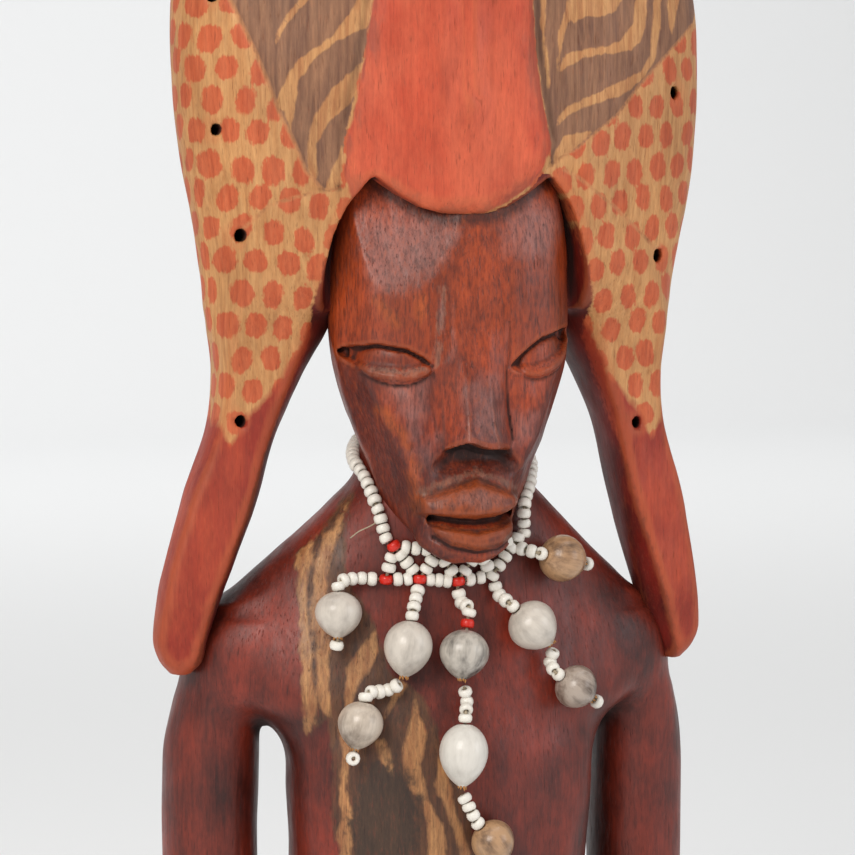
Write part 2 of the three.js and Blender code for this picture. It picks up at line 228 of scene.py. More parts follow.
def shave(block, field, at, normal, depth, soft=0.5):
    # a flat knife cut, square to the normal, so deep under the given point
    n = Vector(normal).normalized()
    plane = n.x * (block["x"] - at[0]) + n.y * (block["y"] - at[1]) + n.z * (block["z"] - at[2])
    return cut(field, plane + depth, soft)


def lineDistance(x, z, points):
    best = None
    for (ax, az), (bx, bz) in zip(points, points[1:]):
        dx, dz = bx - ax, bz - az
        t = np.clip(((x - ax) * dx + (z - az) * dz) / (dx * dx + dz * dz), 0, 1)
        d = np.hypot(x - ax - t * dx, z - az - t * dz)
        best = d if best is None else np.minimum(best, d)
    return best


def outlineDistance(x, z, points):
    # signed distance to a closed outline, negative inside
    loop = list(points) + [points[0]]
    inside = np.zeros(np.broadcast(x, z).shape, dtype=bool)
    for (ax, az), (bx, bz) in zip(loop, loop[1:]):
        if az == bz:
            continue
        crosses = (z >= min(az, bz)) & (z < max(az, bz))
        inside ^= crosses & (x < ax + (z - az) * (bx - ax) / (bz - az))
    d = lineDistance(x, z, loop)
    return np.where(inside, -d, d)


def ramp(value, low, high):
    t = np.clip((value - low) / (high - low), 0, 1)
    return t * t * (3 - 2 * t)


def unevenness(block, sizes, seed):
    # smooth random bumps, as large as the sizes along x, y and z, from -1 to 1
    source = np.random.default_rng(seed)
    spots, shares = [], []
    for axis, size in zip("xyz", sizes):
        line = block[axis].ravel()
        place = (line - line[0]) / size
        low = np.floor(place).astype(int)
        t = (place - low).astype(np.float32)
        spots.append(low)
        shares.append(t * t * (3 - 2 * t))
    coarse = source.uniform(-1, 1, [s[-1] + 2 for s in spots]).astype(np.float32)
    out = 0
    for i in (0, 1):
        for j in (0, 1):
            for k in (0, 1):
                a = shares[0] if i else 1 - shares[0]
                b = shares[1] if j else 1 - shares[1]
                c = shares[2] if k else 1 - shares[2]
                part = coarse[np.ix_(spots[0] + i, spots[1] + j, spots[2] + k)]
                out = out + part * a[:, None, None] * b[None, :, None] * c[None, None, :]
    return out


def softened(field, passes):
    for _ in range(passes):
        for axis in range(3):
            ahead = np.roll(field, 1, axis)
            behind = np.roll(field, -1, axis)
            field = (ahead + field * 2 + behind) / 4
    return field


def readAt(block, field, points):
    place = (points - block["low"]) / block["step"]
    low = np.clip(np.floor(place).astype(int), 0, np.array(field.shape) - 2)
    t = place - low
    out = 0
    for i in (0, 1):
        for j in (0, 1):
            for k in (0, 1):
                share = (
                    (t[:, 0] if i else 1 - t[:, 0])
                    * (t[:, 1] if j else 1 - t[:, 1])
                    * (t[:, 2] if k else 1 - t[:, 2])
                )
                out = out + share * field[low[:, 0] + i, low[:, 1] + j, low[:, 2] + k]
    return out


def toMesh(name, block, field):
    grid = openvdb.FloatGrid(float(field.max()))
    grid.copyFromArray(np.ascontiguousarray(field, dtype=np.float32))
    points, quads = grid.convertToQuads(isovalue=0.0)
    points = points * block["step"] + block["low"]
    # the faces have to turn outwards
    a, b, c, d = (points[quads[:, i]] for i in range(4))
    volume = np.einsum("ij,ij->i", a, np.cross(b, c) + np.cross(c, d)).sum()
    if volume < 0:
        quads = quads[:, ::-1]
    mesh = bpy.data.meshes.new(name)
    mesh.from_pydata((points * mm).tolist(), [], quads.tolist())
    mesh.shade_smooth()
    obj = bpy.data.objects.new(name, mesh)
    bpy.context.collection.objects.link(obj)
    print(name, len(points), "points")
    return obj, points


def storeValues(obj, name, values):
    layer = obj.data.attributes.new(name, "FLOAT", "POINT")
    layer.data.foreach_set("value", np.ascontiguousarray(values, dtype=np.float32))


def storeHollows(obj, block, field, points):
    # above 0 on edges that hands and time have worn, below 0 in cuts, which hold stain and are darkened as
    # painted shade
    blurred = softened(field, 4)
    storeValues(obj, "edge", readAt(block, blurred, points))


# head
headRows = [
    (150.4, 0, 2.6, -31.2, -29.5, -28, 2, 0),
    (151.2, 0, 4.8, -31.7, -29, -26.8, 2.1, 0),
    (152.6, 0, 7.2, -32.1, -28.2, -25.4, 2.1, 0),
    (154.4, 0, 9.2, -32.2, -27, -23.4, 2.1, 0),
    (156.9, 0, 11.3, -32.2, -25.4, -19.5, 2.1, 0),
    (160.7, 0, 13.4, -31.6, -23.4, -9.5, 2.1, 0),
    (165, 0, 14.8, -30.8, -22.5, -4, 2.2, 0),
    (170, 0, 16.5, -30, -21, 2, 2.2, 0),
    (179, 0, 19.8, -29.5, -19.5, 6, 2.2, 0),
    (188, 0, 22, -30, -19, 8, 2.2, 0),
    (198, 0, 22.6, -30.3, -18, 10, 2.2, 0),
    (207, 0, 22.2, -29.3, -17, 10, 2.4, 0),
    (214, 0, 20.9, -27.5, -16.5, 8, 2.8, 0),
    (221, 0, 18.8, -25.4, -16.5, 5, 2.8, 0),
]
face = {
    "step": 0.38,
    "noseMiddle": [(171, 2.1), (184, 1.5), (193, 1.3)],
    "noseFlat": [(171, 3.0), (176, 2.4), (184, 2.1), (193, 3)],
    "noseFoot": [(171, 6.3), (173, 6.5), (177, 6.2), (184, 6.6), (193, 7.2)],
    "noseRise": [(170, 4.4), (171.5, 4.4), (176, 3.4), (182, 2.3), (188, 0.9), (193, 0)],
    "leftEye": {
        "brow": [(-23, 188.6), (-20.7, 189.7), (-16, 190.4), (-10.8, 189.4), (-8, 187.9), (-5.6, 186)],
        "lid": [(-23, 188.8), (-20.4, 186.6), (-17.2, 184.9), (-11.6, 184.2), (-8, 185), (-5.6, 186)],
        "span": (-22.2, -5.4),
        "depth": 2.0,
        "ball": (-12.9, 186.6, 6.3, 3.6, -5),
        "ballRise": 1.75,
    },
    "rightEye": {
        "brow": [(7.6, 185.8), (9.6, 187.6), (12, 189.6), (14.5, 191.3), (18, 192.3), (22, 192.9)],
        "lid": [(7.6, 185.6), (10, 184.7), (13.3, 184.5), (16, 185.4), (19, 187.2), (22, 190.6)],
        "span": (7.4, 22.6),
        "depth": 1.9,
        "ball": (15.6, 187.6, 5.6, 3.3, 24),
        "ballRise": 1.5,
    },
    "upperLip": [
        (-9.4, 158.8), (-9.6, 162.8), (-3.2, 164.7), (1.8, 166.2), (6.4, 164.3), (11.6, 162.6),
        (11.6, 159.6), (1.2, 158.2),
    ],
    "lowerLip": [
        (-7.4, 158), (1.2, 156.6), (9.9, 158.6), (9.5, 156), (6.2, 153.4), (1.2, 152.6), (-3.6, 153.7),
        (-6.8, 155.9),
    ],
    "mouth": [(-8, 158.5), (-2, 157.6), (1.2, 157.3), (5, 157.7), (10.4, 159.2)],
    "mouthHalf": 1.15,
    # the underside of the nose, painted near black as shadow
    "underNose": [
        [
            (-4.6, 171.2), (-1.5, 172.2), (1, 172.2), (3.5, 171.2), (8.6, 171.2), (8.8, 169.2),
            (3, 168.6), (1, 168.4), (-1.4, 169),
        ],
    ],
    # the recess between the nose and the lip, painted darker as shade
    "philtrum": [
        [
            (-5, 170.6), (-8.4, 167.6), (-8.9, 163.6), (-3.2, 165.4), (1.8, 166.9), (6.4, 165.1),
            (11, 163.6), (10.8, 168), (8.6, 170.6),
        ],
    ],
    # areas painted with a sheen: greyish pink highlights on the facets that catch the key light
    "paintedSheen": [
        [
            (-16.5, 213), (-10, 213.5), (-1.5, 210), (-6, 204.5), (-11.5, 201), (-16.5, 200),
            (-17.5, 206.5),
        ],
        [(6, 214), (19, 216), (20, 211), (15, 205.5), (8, 207.5)],
        [(-14, 183), (-8, 183), (-8.5, 178), (-10, 173.5), (-11, 177), (-13.5, 180)],
        [(-9.5, 171), (-5.5, 173.5), (-7.5, 169.8)],
        [(-0.5, 183.5), (4.5, 184), (5, 177.5), (6, 173.6), (-1, 173.4), (0.5, 177.5)],
        [(9, 177.5), (12.5, 176.5), (13, 172.5), (9.5, 173)],
        [(-2.2, 162.4), (2, 164.4), (5, 162.6), (0.5, 161.4)],
    ],
    "rubbed": [
        [(-15.5, 178.5), (-11.5, 173.5), (-10, 170), (-9.5, 166), (-9, 161)],
        [(-16, 198), (-13, 194)],
        [(-8, 199), (-9, 195)],
    ],
    "scraped": [
        [(-4.4, 200), (-5, 193), (-5.6, 187)],
        [(-17, 185.6), (-11.5, 185.1), (-8, 185.7)],
        [(-8.5, 163.6), (-3, 165.6), (1.8, 167), (6.4, 165.2), (10.6, 163.6)],
    ],
    "chinLine": [(-6.6, 155.4), (-3.6, 153.5), (1.2, 152.4), (5.4, 152.8), (8.6, 154.4)],
    "leftLine": [(-5.2, 192.2), (-5.9, 189), (-6.3, 186.2), (-6.6, 180.2), (-5.6, 173.4)],
    "rightLine": [(8, 194.3), (8.1, 188), (7.5, 185), (7.7, 179.3), (8.9, 172.6)],
}


def alongTable(value, table):
    keys, values = zip(*table)
    return np.interp(value, keys, values)


def ball(x, z, spec):
    cx, cz, wide, tall, turn = spec
    c, s = math.cos(math.radians(turn)), math.sin(math.radians(turn))
    u, v = ((x - cx) * c + (z - cz) * s) / wide, ((z - cz) * c - (x - cx) * s) / tall
    return np.sqrt(np.clip(1 - u * u - v * v, 0, 1))


def faceHeight(x, z):
    # how far each place on the face stands out from the smooth head
    middle = alongTable(z, face["noseMiddle"])
    off = np.abs(x - middle)
    inner, outer = alongTable(z, face["noseFlat"]), alongTable(z, face["noseFoot"])
    nose = alongTable(z, face["noseRise"]) * np.clip((outer - off) / (outer - inner), 0, 1)
    foot = 171.1 + 1.2 * np.exp(-(((x + 0.4) / 2.4) ** 2))
    height = nose * ramp(z, foot - 0.25, foot + 0.25)
    # the hollow between the nose and the mouth
    reach = alongTable(z, [(163, 11.5), (168, 9.6), (171, 7.2)])
    hollow = ramp(reach - np.abs(x - 1.8), 0, 4.2) * (1 - ramp(z, foot - 0.5, foot + 0.1))
    height = height - hollow * alongTable(z, [(161, 0), (163.5, 0.6), (166.5, 1.5), (169, 2.9)])
    # cheek planes beside the nose
    for cx in (-10.5, 13):
        facet = np.clip(1 - np.abs(x - cx) / 5.2, 0, 1) * ramp(z, 168, 174) * (1 - ramp(z, 180, 184))
        height = height + 0.9 * facet
    for name in ("leftEye", "rightEye"):
        eye = face[name]
        above = alongTable(x, eye["brow"]) - z
        below = z - alongTable(x, eye["lid"])
        eyeStart, eyeEnd = eye["span"]
        within = ramp(x, eyeStart, eyeStart + 1.2) * (1 - ramp(x, eyeEnd - 1.5, eyeEnd))
        height = height - eye["depth"] * ramp(above, -0.1, 0.45) * ramp(below, -0.1, 2.3) * within
        height = height + eye["ballRise"] * ball(x, z, eye["ball"]) * ramp(above, 0.2, 1.0)
        height = height + 0.18 * ramp(-np.abs(below + 0.1), -0.7, 0) * within
    upper = ramp(-outlineDistance(x, z, face["upperLip"]), 0, 1.7)
    height = height + upper * (1.9 - 0.09 * np.abs(x - 1.2))
    lower = ramp(-outlineDistance(x, z, face["lowerLip"]), -0.1, 1.5)
    height = height + lower * (1.7 - 0.09 * np.abs(x - 1.2))
    slit = face["mouthHalf"] * ramp(-np.abs(x - 1.3), -8.9, -8.1)
    opening = z - alongTable(x, face["mouth"])
    deep = 0.6 + 1.5 * ramp(opening, -0.7, 0.7)
    height = height - deep * (1 - ramp(np.abs(opening), slit - 0.3, slit + 0.25)) * ramp(slit, 0.1, 0.4)
    height = height - 0.5 * (1 - ramp(lineDistance(x, z, face["chinLine"]), 0.0, 0.6))
    for line, depth in (("leftLine", 0.3), ("rightLine", 0.42)):
        height = height - depth * (1 - ramp(lineDistance(x, z, face[line]), 0.0, 0.45))
    # a scraped patch over the left line
    scrape = ramp(-np.abs(x + 3.8), -1.8, -0.4) * ramp(z, 186, 190) * (1 - ramp(z, 197, 200))
    return height - 0.4 * scrape


def carveHead():
    block = openBlock((-26, -38, 146), (26, 14, 223), face["step"])
    x, y, z = block["x"], block["y"], block["z"]
    field = stackOf(block, headRows)

    # the big flat cuts: jaw sides, forehead and cheeks
    for side in (-1, 1):
        jaw = shave(block, field, (19 * side, -24, 183.5), (0.857 * side, -0.42, -0.3), 0.5, 0.35)
        field = field + (jaw - field) * ramp(z, 153, 160)
        field = shave(block, field, (21.5 * side, -21, 196), (0.86 * side, -0.5, 0.02), 0.6, 1.0)
    field = shave(block, field, (0, -32.2, 152.6), (0, -0.8, -0.6), 0.2, 0.8)
    field = shave(block, field, (1, -30.3, 198), (0.03, -0.99, 0.06), 0.3, 1.5)
    field = shave(block, field, (-5.9, -28.8, 204.7), (-0.28, -1, 0.31), 0.05, 0.25)

    # the features, as a height over the face
    front = ramp(-y, 14, 19)
    xz = np.broadcast_to(x, (x.shape[0], 1, z.shape[2]))
    zz = np.broadcast_to(z, xz.shape)
    field = field - faceHeight(xz, zz) * front

    # knife marks
    field = field + 0.13 * unevenness(block, (3.2, 4, 5.5), 3) + 0.05 * unevenness(block, (1.1, 1.1, 2.6), 4)
    obj, points = toMesh("carved_head", block, field)
    storeHollows(obj, block, field, points)
    px, pz = points[:, 0], points[:, 2]
    lips = np.minimum(
        outlineDistance(px, pz, face["upperLip"]), outlineDistance(px, pz, face["lowerLip"])
    )
    storeValues(obj, "lips", np.where(points[:, 1] < -24, lips, 9))
    # height below the band's tip, for the painted shadow there
    storeValues(obj, "underBrow", alongTable(np.abs(px), headdress["brow"]) - pz)
    facing = points[:, 1] < -18
    for name in ("underNose", "philtrum", "paintedSheen"):
        storeValues(obj, name, np.where(facing, distanceToAny(px, pz, face[name]), 9))
    for name in ("rubbed", "scraped"):
        nearest = np.minimum.reduce([lineDistance(px, pz, line) for line in face[name]])
        storeValues(obj, name, np.where(facing, nearest, 9))
    jaw = 0.857 * (np.abs(px) - 19) - 0.42 * (points[:, 1] + 24) - 0.3 * (pz - 183.5)
    storeValues(obj, "jaw", jaw + 0.5)
    return obj


# headdress and ear lobes
headdressRows = [
    (196, 0, 44.3, -22, -5, 14, 2, 0),
    (201, 0, 45.2, -25.5, -5, 17.5, 2, 0),
    (210, 0, 46.7, -27, -5, 19.5, 2, 0),
    (223, 0, 49, -28, -5, 21.5, 2, 0),
    (238, 0, 50.3, -28.5, -5, 22.5, 2, 0),
    (253, 0, 50, -28.5, -5, 22.5, 2, 0),
    (265, 0, 47.2, -27.5, -5, 21.5, 2, 0),
    (275, 0, 41.5, -25.5, -4.5, 19.5, 2, 0),
    (283, 0, 32.5, -22, -4, 16.5, 2, 0),
    (288, 0, 21, -16.5, -3.5, 12, 2, 0),
    (290, 0, 9, -9, -3, 5, 2, 0),
]
lobeRows = [
    (128.5, 46.5, 1.8, -8, -5.5, -3, 2, 0),
    (131, 46.4, 4, -11, -5.5, -1, 2, 0),
    (135, 46.6, 5, -13, -5.5, 1.5, 2, 0),
    (146, 44.3, 6.1, -15, -5.5, 3.5, 2.1, 0),
    (161, 40.5, 6.8, -16, -5.5, 4.5, 2.1, 0),
    (174, 36.9, 6.4, -16.5, -5.5, 5, 2.1, 0),
    (184, 34.5, 8.3, -17.5, -5.5, 6.5, 2, 0),
    (195, 32.3, 11.7, -19, -5.5, 9, 2, 0),
    (203, 31, 11, -17, -5.5, 9, 2, 0),
    (211, 30, 5, -9, -5.5, 2, 2, 0),
]
headdress = {
    "step": 0.69,
    "crestRise": 2.2,
    "lean": [(195, 1.1), (215, 1.2), (232, 0.8), (255, 0.3), (292, 0)],
    "leftLobeLean": [(128, 2.3), (145, 1.9), (158, 0.9), (168, 0.5), (177, 0), (190, -0.6)],
    "rightLobeLean": [(128, 0.2), (158, 0.6), (177, 1.1), (190, 0.9)],
    "nicheGap": 1.0,
    "nicheBack": -16.5,
    # the ridge between the two facets of a lobe, by height: how far out, and how far forward
    "lobeRidge": [
        (128, 47.2), (131, 46.8), (142, 43.6), (158, 38), (170, 34.3), (182, 29.8), (192, 25.6),
        (203, 22),
    ],
    "lobeRidgeY": [
        (128, -9), (131, -10.5), (142, -13), (158, -14), (170, -14.6), (182, -16), (192, -18.5),
        (203, -22),
    ],
    "piercings": [
        (-43.8, 253), (-43.2, 229), (-38.9, 209.8), (-38.6, 175.8), (42.6, 256), (43.1, 236.3),
        (40.6, 205.9), (37.2, 174.4),
    ],
    "piercingRadius": 1.1,
    # half width of the niche at the front of the panels, by height
    "panelEdge": [
        (150, 30), (186, 28.2), (192, 27.4), (198, 26.6), (204, 25.2), (210, 23.3), (216, 20.6),
        (219.5, 17.8), (222, 15.5), (226, 10),
    ],
    "brow": [(0, 213.6), (4, 213.8), (8, 214.9), (12, 217.2), (16, 220.2), (20, 222.5), (30, 224)],
    "band": [
        (-12.8, 292), (-15.4, 266), (-17, 252.5), (-18.4, 242.5), (-20.2, 233), (-21.6, 226.5),
        (-21.8, 220), (-20.5, 215.8), (-17.6, 218.8), (-15.4, 217.6), (-11.2, 215.4), (-6.6, 213.9),
        (-1, 213.5), (3.8, 213.9), (8.4, 216.1), (12.2, 218.8), (14.8, 222), (16.3, 226.3), (15, 231.6),
        (13, 242.8), (12.4, 252.6), (11.8, 266), (10.6, 292),
    ],
    "creases": [
        [(-25.6, 218.1), (-29.1, 217), (-34.3, 215.4), (-39.4, 210.3)],
        [(19, 221.8), (22.2, 220.3), (29.9, 215), (40.8, 206.4)],
    ],
    "crack": [(-0.4, 253), (-0.2, 236), (2.4, 233.4)],
    "leftZebra": [
        (-15, 292), (-16.6, 252.6), (-18.6, 242), (-20.6, 233.2), (-22, 226.5), (-22.4, 218.4),
        (-25.3, 217.8), (-28.6, 221.6), (-30.5, 226.7), (-32.8, 231.3), (-34.9, 237), (-36.8, 242),
        (-41.7, 253.2), (-45, 264), (-44, 292),
    ],
    "rightZebra": [
        (10, 292), (12.6, 252.6), (13.2, 242.8), (15, 231.6), (16.2, 226.6), (16.6, 222.4), (18, 223.6),
        (21.9, 225.8), (30.3, 232), (34.5, 237), (42.6, 244.5), (47.9, 249), (52, 256), (50, 292),
    ],
}
# tan flames on the dark ground of the two striped panels
leftFlames = [
    [
        (-33.9, 243.5), (-33.3, 246.6), (-32.3, 248.7), (-30.4, 251.1), (-27.5, 254), (-24, 258),
        (-26, 254), (-29.8, 250.2), (-32.1, 247.4),
    ],
    [
        (-34.1, 233.3), (-32.4, 232.2), (-30.9, 226.9), (-30.4, 233.3), (-29.8, 237.4), (-27.1, 241.2),
        (-25.4, 242.9), (-23.4, 244.3), (-17.7, 247.4), (-16, 252.6), (-15.2, 262), (-17.5, 270),
        (-18.6, 258), (-20.1, 250.6), (-22, 248.2), (-24, 245.8), (-26.1, 243.9), (-27.8, 243),
        (-29.8, 241.3), (-31.5, 239.2), (-32.6, 236.1),
    ],
    [
        (-28.3, 221.6), (-28, 228.4), (-27, 231.5), (-24, 236.3), (-18.9, 240.9), (-19.6, 235.3),
        (-21.8, 232.6), (-23.6, 231.3), (-25.7, 228.6), (-26.6, 225.8), (-26.6, 219.8),
    ],
    [(-25.2, 217.6), (-23.9, 222.2), (-22.2, 226.4), (-21.6, 217.6)],
    [
        (-38, 252), (-36.6, 258), (-33, 266), (-27, 273), (-22, 284), (-25.5, 273), (-31, 264.5),
        (-35.4, 257),
    ],
    [(-44, 262), (-40, 270), (-35, 278), (-30, 290), (-37, 278), (-42, 269)],
]
rightFlames = [
    [
        (19.8, 249.2), (20.2, 253.7), (23, 259), (29, 262), (34, 270), (33, 260), (30.6, 252.8),
        (29.6, 250.8), (27.2, 249.9), (23, 249.5), (20.9, 248.4),
    ],
    [
        (17.9, 239.4), (18.5, 241.8), (20.3, 243.2), (24.5, 243.9), (28, 244.6), (31.2, 245.9),
        (33.3, 248.8), (33.9, 253), (36, 262), (40, 270), (38.6, 262), (36.3, 253), (36, 248.3),
        (34.8, 245.2), (33.1, 243.7), (28, 242.9), (23, 242.1), (20, 240.6),
    ],
    [
        (17.2, 229.2), (17.9, 231.4), (20.4, 233.6), (24.9, 235.5), (30.4, 237.9), (35, 239.7),
        (37.1, 242.8), (37.6, 248.5), (38, 253), (40.5, 261), (44.4, 266), (42, 260), (39.8, 253),
        (39.4, 248), (38.5, 242.5), (36.1, 239), (33.2, 236.9), (30.4, 235.2), (28, 234.5), (23, 233.3),
        (19.7, 231.6),
    ],
    [(17.1, 221.6), (17.2, 225.3), (19, 227.9), (23.1, 228.7), (26, 229.6), (22, 226.1), (19.4, 223.7)],
    [
        (14.1, 258), (14.3, 245.8), (15.3, 238.9), (15.8, 234.3), (16.1, 237.2), (15.4, 244.1),
        (15.1, 249.2), (15.4, 260),
    ],
    [
        (17.4, 242.4), (17.9, 246.8), (19.2, 251.6), (20.4, 256), (20.3, 252), (18.7, 245.8),
        (18.2, 242.4), (17.5, 238.6),
    ],
    [(41.4, 253.6), (41.6, 248.4), (42.2, 246.8), (43.4, 250), (45.6, 258), (43.6, 258)],
]


def distanceToAny(x, z, outlines):
    return np.min([outlineDistance(x, z, o) for o in outlines], axis=0)


def spotDistance(x, z, seed):
    # rows of painted ovals, every other row shifted by half a space
    source = np.random.default_rng(seed)
    best = np.full(x.shape, 9.0)
    pitchX, pitchZ = 5.1, 5.8
    for row in range(24):
        for column in range(-1, 11):
            cx = 16 + (column + 0.5 * (row % 2)) * pitchX + source.uniform(-0.5, 0.5)
            cz = 168 + row * pitchZ + column * 0.5 + source.uniform(-0.6, 0.6)
            wide, tall = source.uniform(1.6, 1.95), source.uniform(2.15, 2.65)
            turn = math.radians(source.uniform(-14, 22))
            c, s = math.cos(turn), math.sin(turn)
            near = (np.abs(x - cx) < 6) & (np.abs(z - cz) < 6)
            u = ((x[near] - cx) * c + (z[near] - cz) * s) / wide
            v = ((z[near] - cz) * c - (x[near] - cx) * s) / tall
            d = ((np.abs(u) ** 2.3 + np.abs(v) ** 2.3) ** (1 / 2.3) - 1) * wide
            best[near] = np.minimum(best[near], d)
    return best


def nicheHalf(y, z):
    # half width of the niche: snug round the head, and cut back at a slant to the panels' edge
    snug = rowsAt(headRows, np.clip(z.ravel(), 149.5, 221))[2].reshape(z.shape) + headdress["nicheGap"]
    edge = alongTable(z, headdress["panelEdge"])
    share = np.clip((headdress["nicheBack"] - y) / 9, 0, 1.3)
    return np.minimum(snug, edge) + (edge - np.minimum(snug, edge)) * share


def scoredLines():
    # the cut lines: two creases, and the lower edges of the striped panels
    return headdress["creases"] + [headdress["leftZebra"][5:13], headdress["rightZebra"][5:12]]


def carveHeaddress():
    block = openBlock((-54, -36, 124), (54, 27, 293), headdress["step"])
    x, y, z = block["x"], block["y"], block["z"]
    side = np.abs(x)
    # carved by hand, the two sides aren't alike
    lean = alongTable(z, headdress["lean"]) * np.clip((x / 45) ** 2, 0, 1.2)
    field = stackOf({**block, "x": x - lean}, headdressRows, endSoft=2.0)

    # the raised band, with its rounded tip over the brow
    xz = np.broadcast_to(x, (x.shape[0], 1, z.shape[2]))
    zz = np.broadcast_to(z, xz.shape)
    inBand = outlineDistance(xz, zz, headdress["band"])
    roof = headdress["crestRise"] * ramp(-inBand, -1.6, 3.0) - 0.05 * np.abs(xz) * ramp(-inBand, 0, 3)
    field = field - (roof + 0.9 * (1 - ramp(np.abs(xz), 0, 5)) * ramp(zz, 222, 236)) * ramp(-y, 4, 14)

    # the niche that holds the head, with its edge cut back at a slant
    niche = (side - nicheHalf(y, z)) * 0.92
    niche = cut(niche, y - headdress["nicheBack"], 1.0)
    brow = alongTable(np.abs(xz), headdress["brow"])
    niche = cut(niche, np.maximum(zz - brow, -60), 0.6)
    field = cut(field, -niche, 0.5)

    # ear lobes: a front facet and an inner bevel that meet in a ridge
    leans = [alongTable(z, headdress[side]) for side in ("leftLobeLean", "rightLobeLean")]
    lobeLean = np.where(x < 0, *leans)
    lobes = stackOf({**block, "x": side - lobeLean}, lobeRows)
    ridgeX = alongTable(z, headdress["lobeRidge"])
    ridgeY = alongTable(z, headdress["lobeRidgeY"])
    bevel = -0.8 * (side - ridgeX) - 0.6 * (y - ridgeY)
    frontFacet = 0.26 * (side - ridgeX) - 0.965 * (y - ridgeY)
    lobes = cut(cut(lobes, bevel, 0.5), frontFacet, 0.9)
    field = join(field, lobes, 2.5)

    # incised lines
    for line in scoredLines():
        field = field + 0.22 * (1 - ramp(lineDistance(xz, zz, line), 0.1, 0.7)) * ramp(-y, 2, 6)
    crack = lineDistance(xz, zz, headdress["crack"])
    field = field + 0.35 * (1 - ramp(crack, 0.05, 0.6)) * ramp(-y, 20, 24)

    for cx, cz in headdress["piercings"]:
        hole = np.hypot((x - cx) * 1.12, (z - cz) * 0.85) - headdress["piercingRadius"]
        field = cut(field, -cut(hole, y - 2, 0.4), 0.3)
    chip = np.sqrt((x - 51.2) ** 2 + (y + 5) ** 2 + (z - 249.4) ** 2) - 1.9
    field = cut(field, -chip, 0.4)

    field = field + 0.16 * unevenness(block, (6, 6, 9), 11) + 0.06 * unevenness(block, (2, 2, 5), 12)
    obj, points = toMesh("carved_headdress", block, field)
    storeHollows(obj, block, field, points)
    paintHeaddress(obj, points)
    return obj


def paintHeaddress(obj, points):
    px, py, pz = points.T
    side = np.abs(px)
    storeValues(obj, "band", -outlineDistance(px, pz, headdress["band"]))
    zebra = np.where(
        px < 0,
        outlineDistance(px, pz, headdress["leftZebra"]),
        outlineDistance(px, pz, headdress["rightZebra"]),
    )
    storeValues(obj, "striped", -zebra)
    flames = np.where(px < 0, distanceToAny(px, pz, leftFlames), distanceToAny(px, pz, rightFlames))
    storeValues(obj, "flames", -flames)
    aroundSide = side + 0.85 * np.clip(py + 11, 0, 30)
    spots = np.where(px < 0, spotDistance(aroundSide, pz, 5), spotDistance(aroundSide, pz, 9))
    storeValues(obj, "spots", -spots)
    # below this the lobes are one red, with a point of bare wood running down between
    edgeZ = alongTable(
        side, [(20, 200), (28, 191), (31, 184), (34, 181), (38, 176), (40.5, 171), (42, 175), (46, 178)]
    )
    storeValues(obj, "lobe", edgeZ - pz)
    ridgeX = alongTable(pz, headdress["lobeRidge"])
    inner = ridgeX - side
    edge = alongTable(pz, headdress["panelEdge"])
    nicheSide = edge - 0.2 - side
    blend = ramp(pz, 188, 198)
    bevel = inner * (1 - blend) + np.where(pz < 221, nicheSide, -9) * blend
    inBand = -outlineDistance(px, pz, headdress["band"])
    bevel = np.where((inBand > -0.5) & (py < -22) & (pz > 200), -9, bevel)
    storeValues(obj, "bevel", bevel)
    storeValues(obj, "depth", py)
    scored = np.min([lineDistance(px, pz, line) for line in scoredLines()], axis=0)
    storeValues(obj, "scored", np.where(py < -3, scored, 9))


# body
torsoRows = [
    (12, 0, 43, -31, 0, 30, 2.3, 0),
    (24, 0, 42.5, -30.5, 0, 29.5, 2.3, 0),
    (42, 0, 40, -29.5, -1, 27, 2.2, 0),
    (58, 0, 36.5, -28.5, -2, 24, 2.2, 0),
    (72, 0, 32, -27.5, -4, 20, 2.2, 0),
    (84, 0, 28.6, -26.8, -6, 16, 2.2, 0),
    (95, 0, 28.3, -27.5, -8, 13.5, 2.3, 0),
    (106, 0, 28.9, -27.8, -9, 12.5, 2.4, 0),
    (114, 0, 29.4, -27.2, -9, 12.5, 2.4, 0),
    (119, 0, 33, -26.2, -8, 12.5, 2.3, 2),
    (124, 0, 42, -25, -6, 12.5, 2.2, 4),
    (130, 0, 45, -23.6, -5, 12, 2.2, 5),
    (137, 0, 43.2, -22.2, -5, 11, 2.2, 5),
    (144, 0, 37.5, -21.4, -6, 10, 2.1, 4),
    (150, 0, 31.3, -21.6, -7, 9, 2.1, 3),
    (155, 0, 26, -22, -8, 8, 2, 2),
    (160, 0, 20.8, -22.5, -8.5, 7, 2, 1),
    (165, 0, 16.4, -23, -9, 6, 2, 0),
    (172, 0, 15, -23, -9, 5.5, 2, 0),
    (186, 0, 15, -22, -8, 7, 2, 0),
]
armRows = [
    (33, 42.5, 3, -8, -4, 0, 2, 0),
    (36, 42.5, 4.2, -11, -4, 3, 2, 0),
    (45, 41.8, 5.6, -12.5, -3.5, 5.5, 2.2, 0),
    (55, 40.6, 6.4, -12, -2.5, 7, 2.2, 0),
    (66, 40.8, 7.4, -9.5, -1, 8, 2.1, 0),
    (80, 41.6, 8.7, -8.6, 1, 10.6, 2.1, 0),
    (95, 41.9, 9, -7.6, 2.5, 12.2, 2.1, 0),
    (112, 41.7, 9, -8.2, 2, 12, 2.1, 0),
    (119, 41.1, 8.5, -9, 1.5, 11.5, 2.1, 0),
    (126, 39.6, 8, -9.5, 1, 11, 2.1, 0),
    (134, 38, 7, -9.5, 0, 9.5, 2, 0),
    (139, 36.5, 4.5, -6, -1, 4, 2, 0),
]
plinthRows = [
    (0, 0, 51, -37, 0, 37, 2.5, 0),
    (1.5, 0, 52, -38, 0, 38, 2.5, 0),
    (11, 0, 52, -38, 0, 38, 2.5, 0),
    (12.8, 0, 50.4, -36.4, 0, 36.4, 2.5, 0),
]
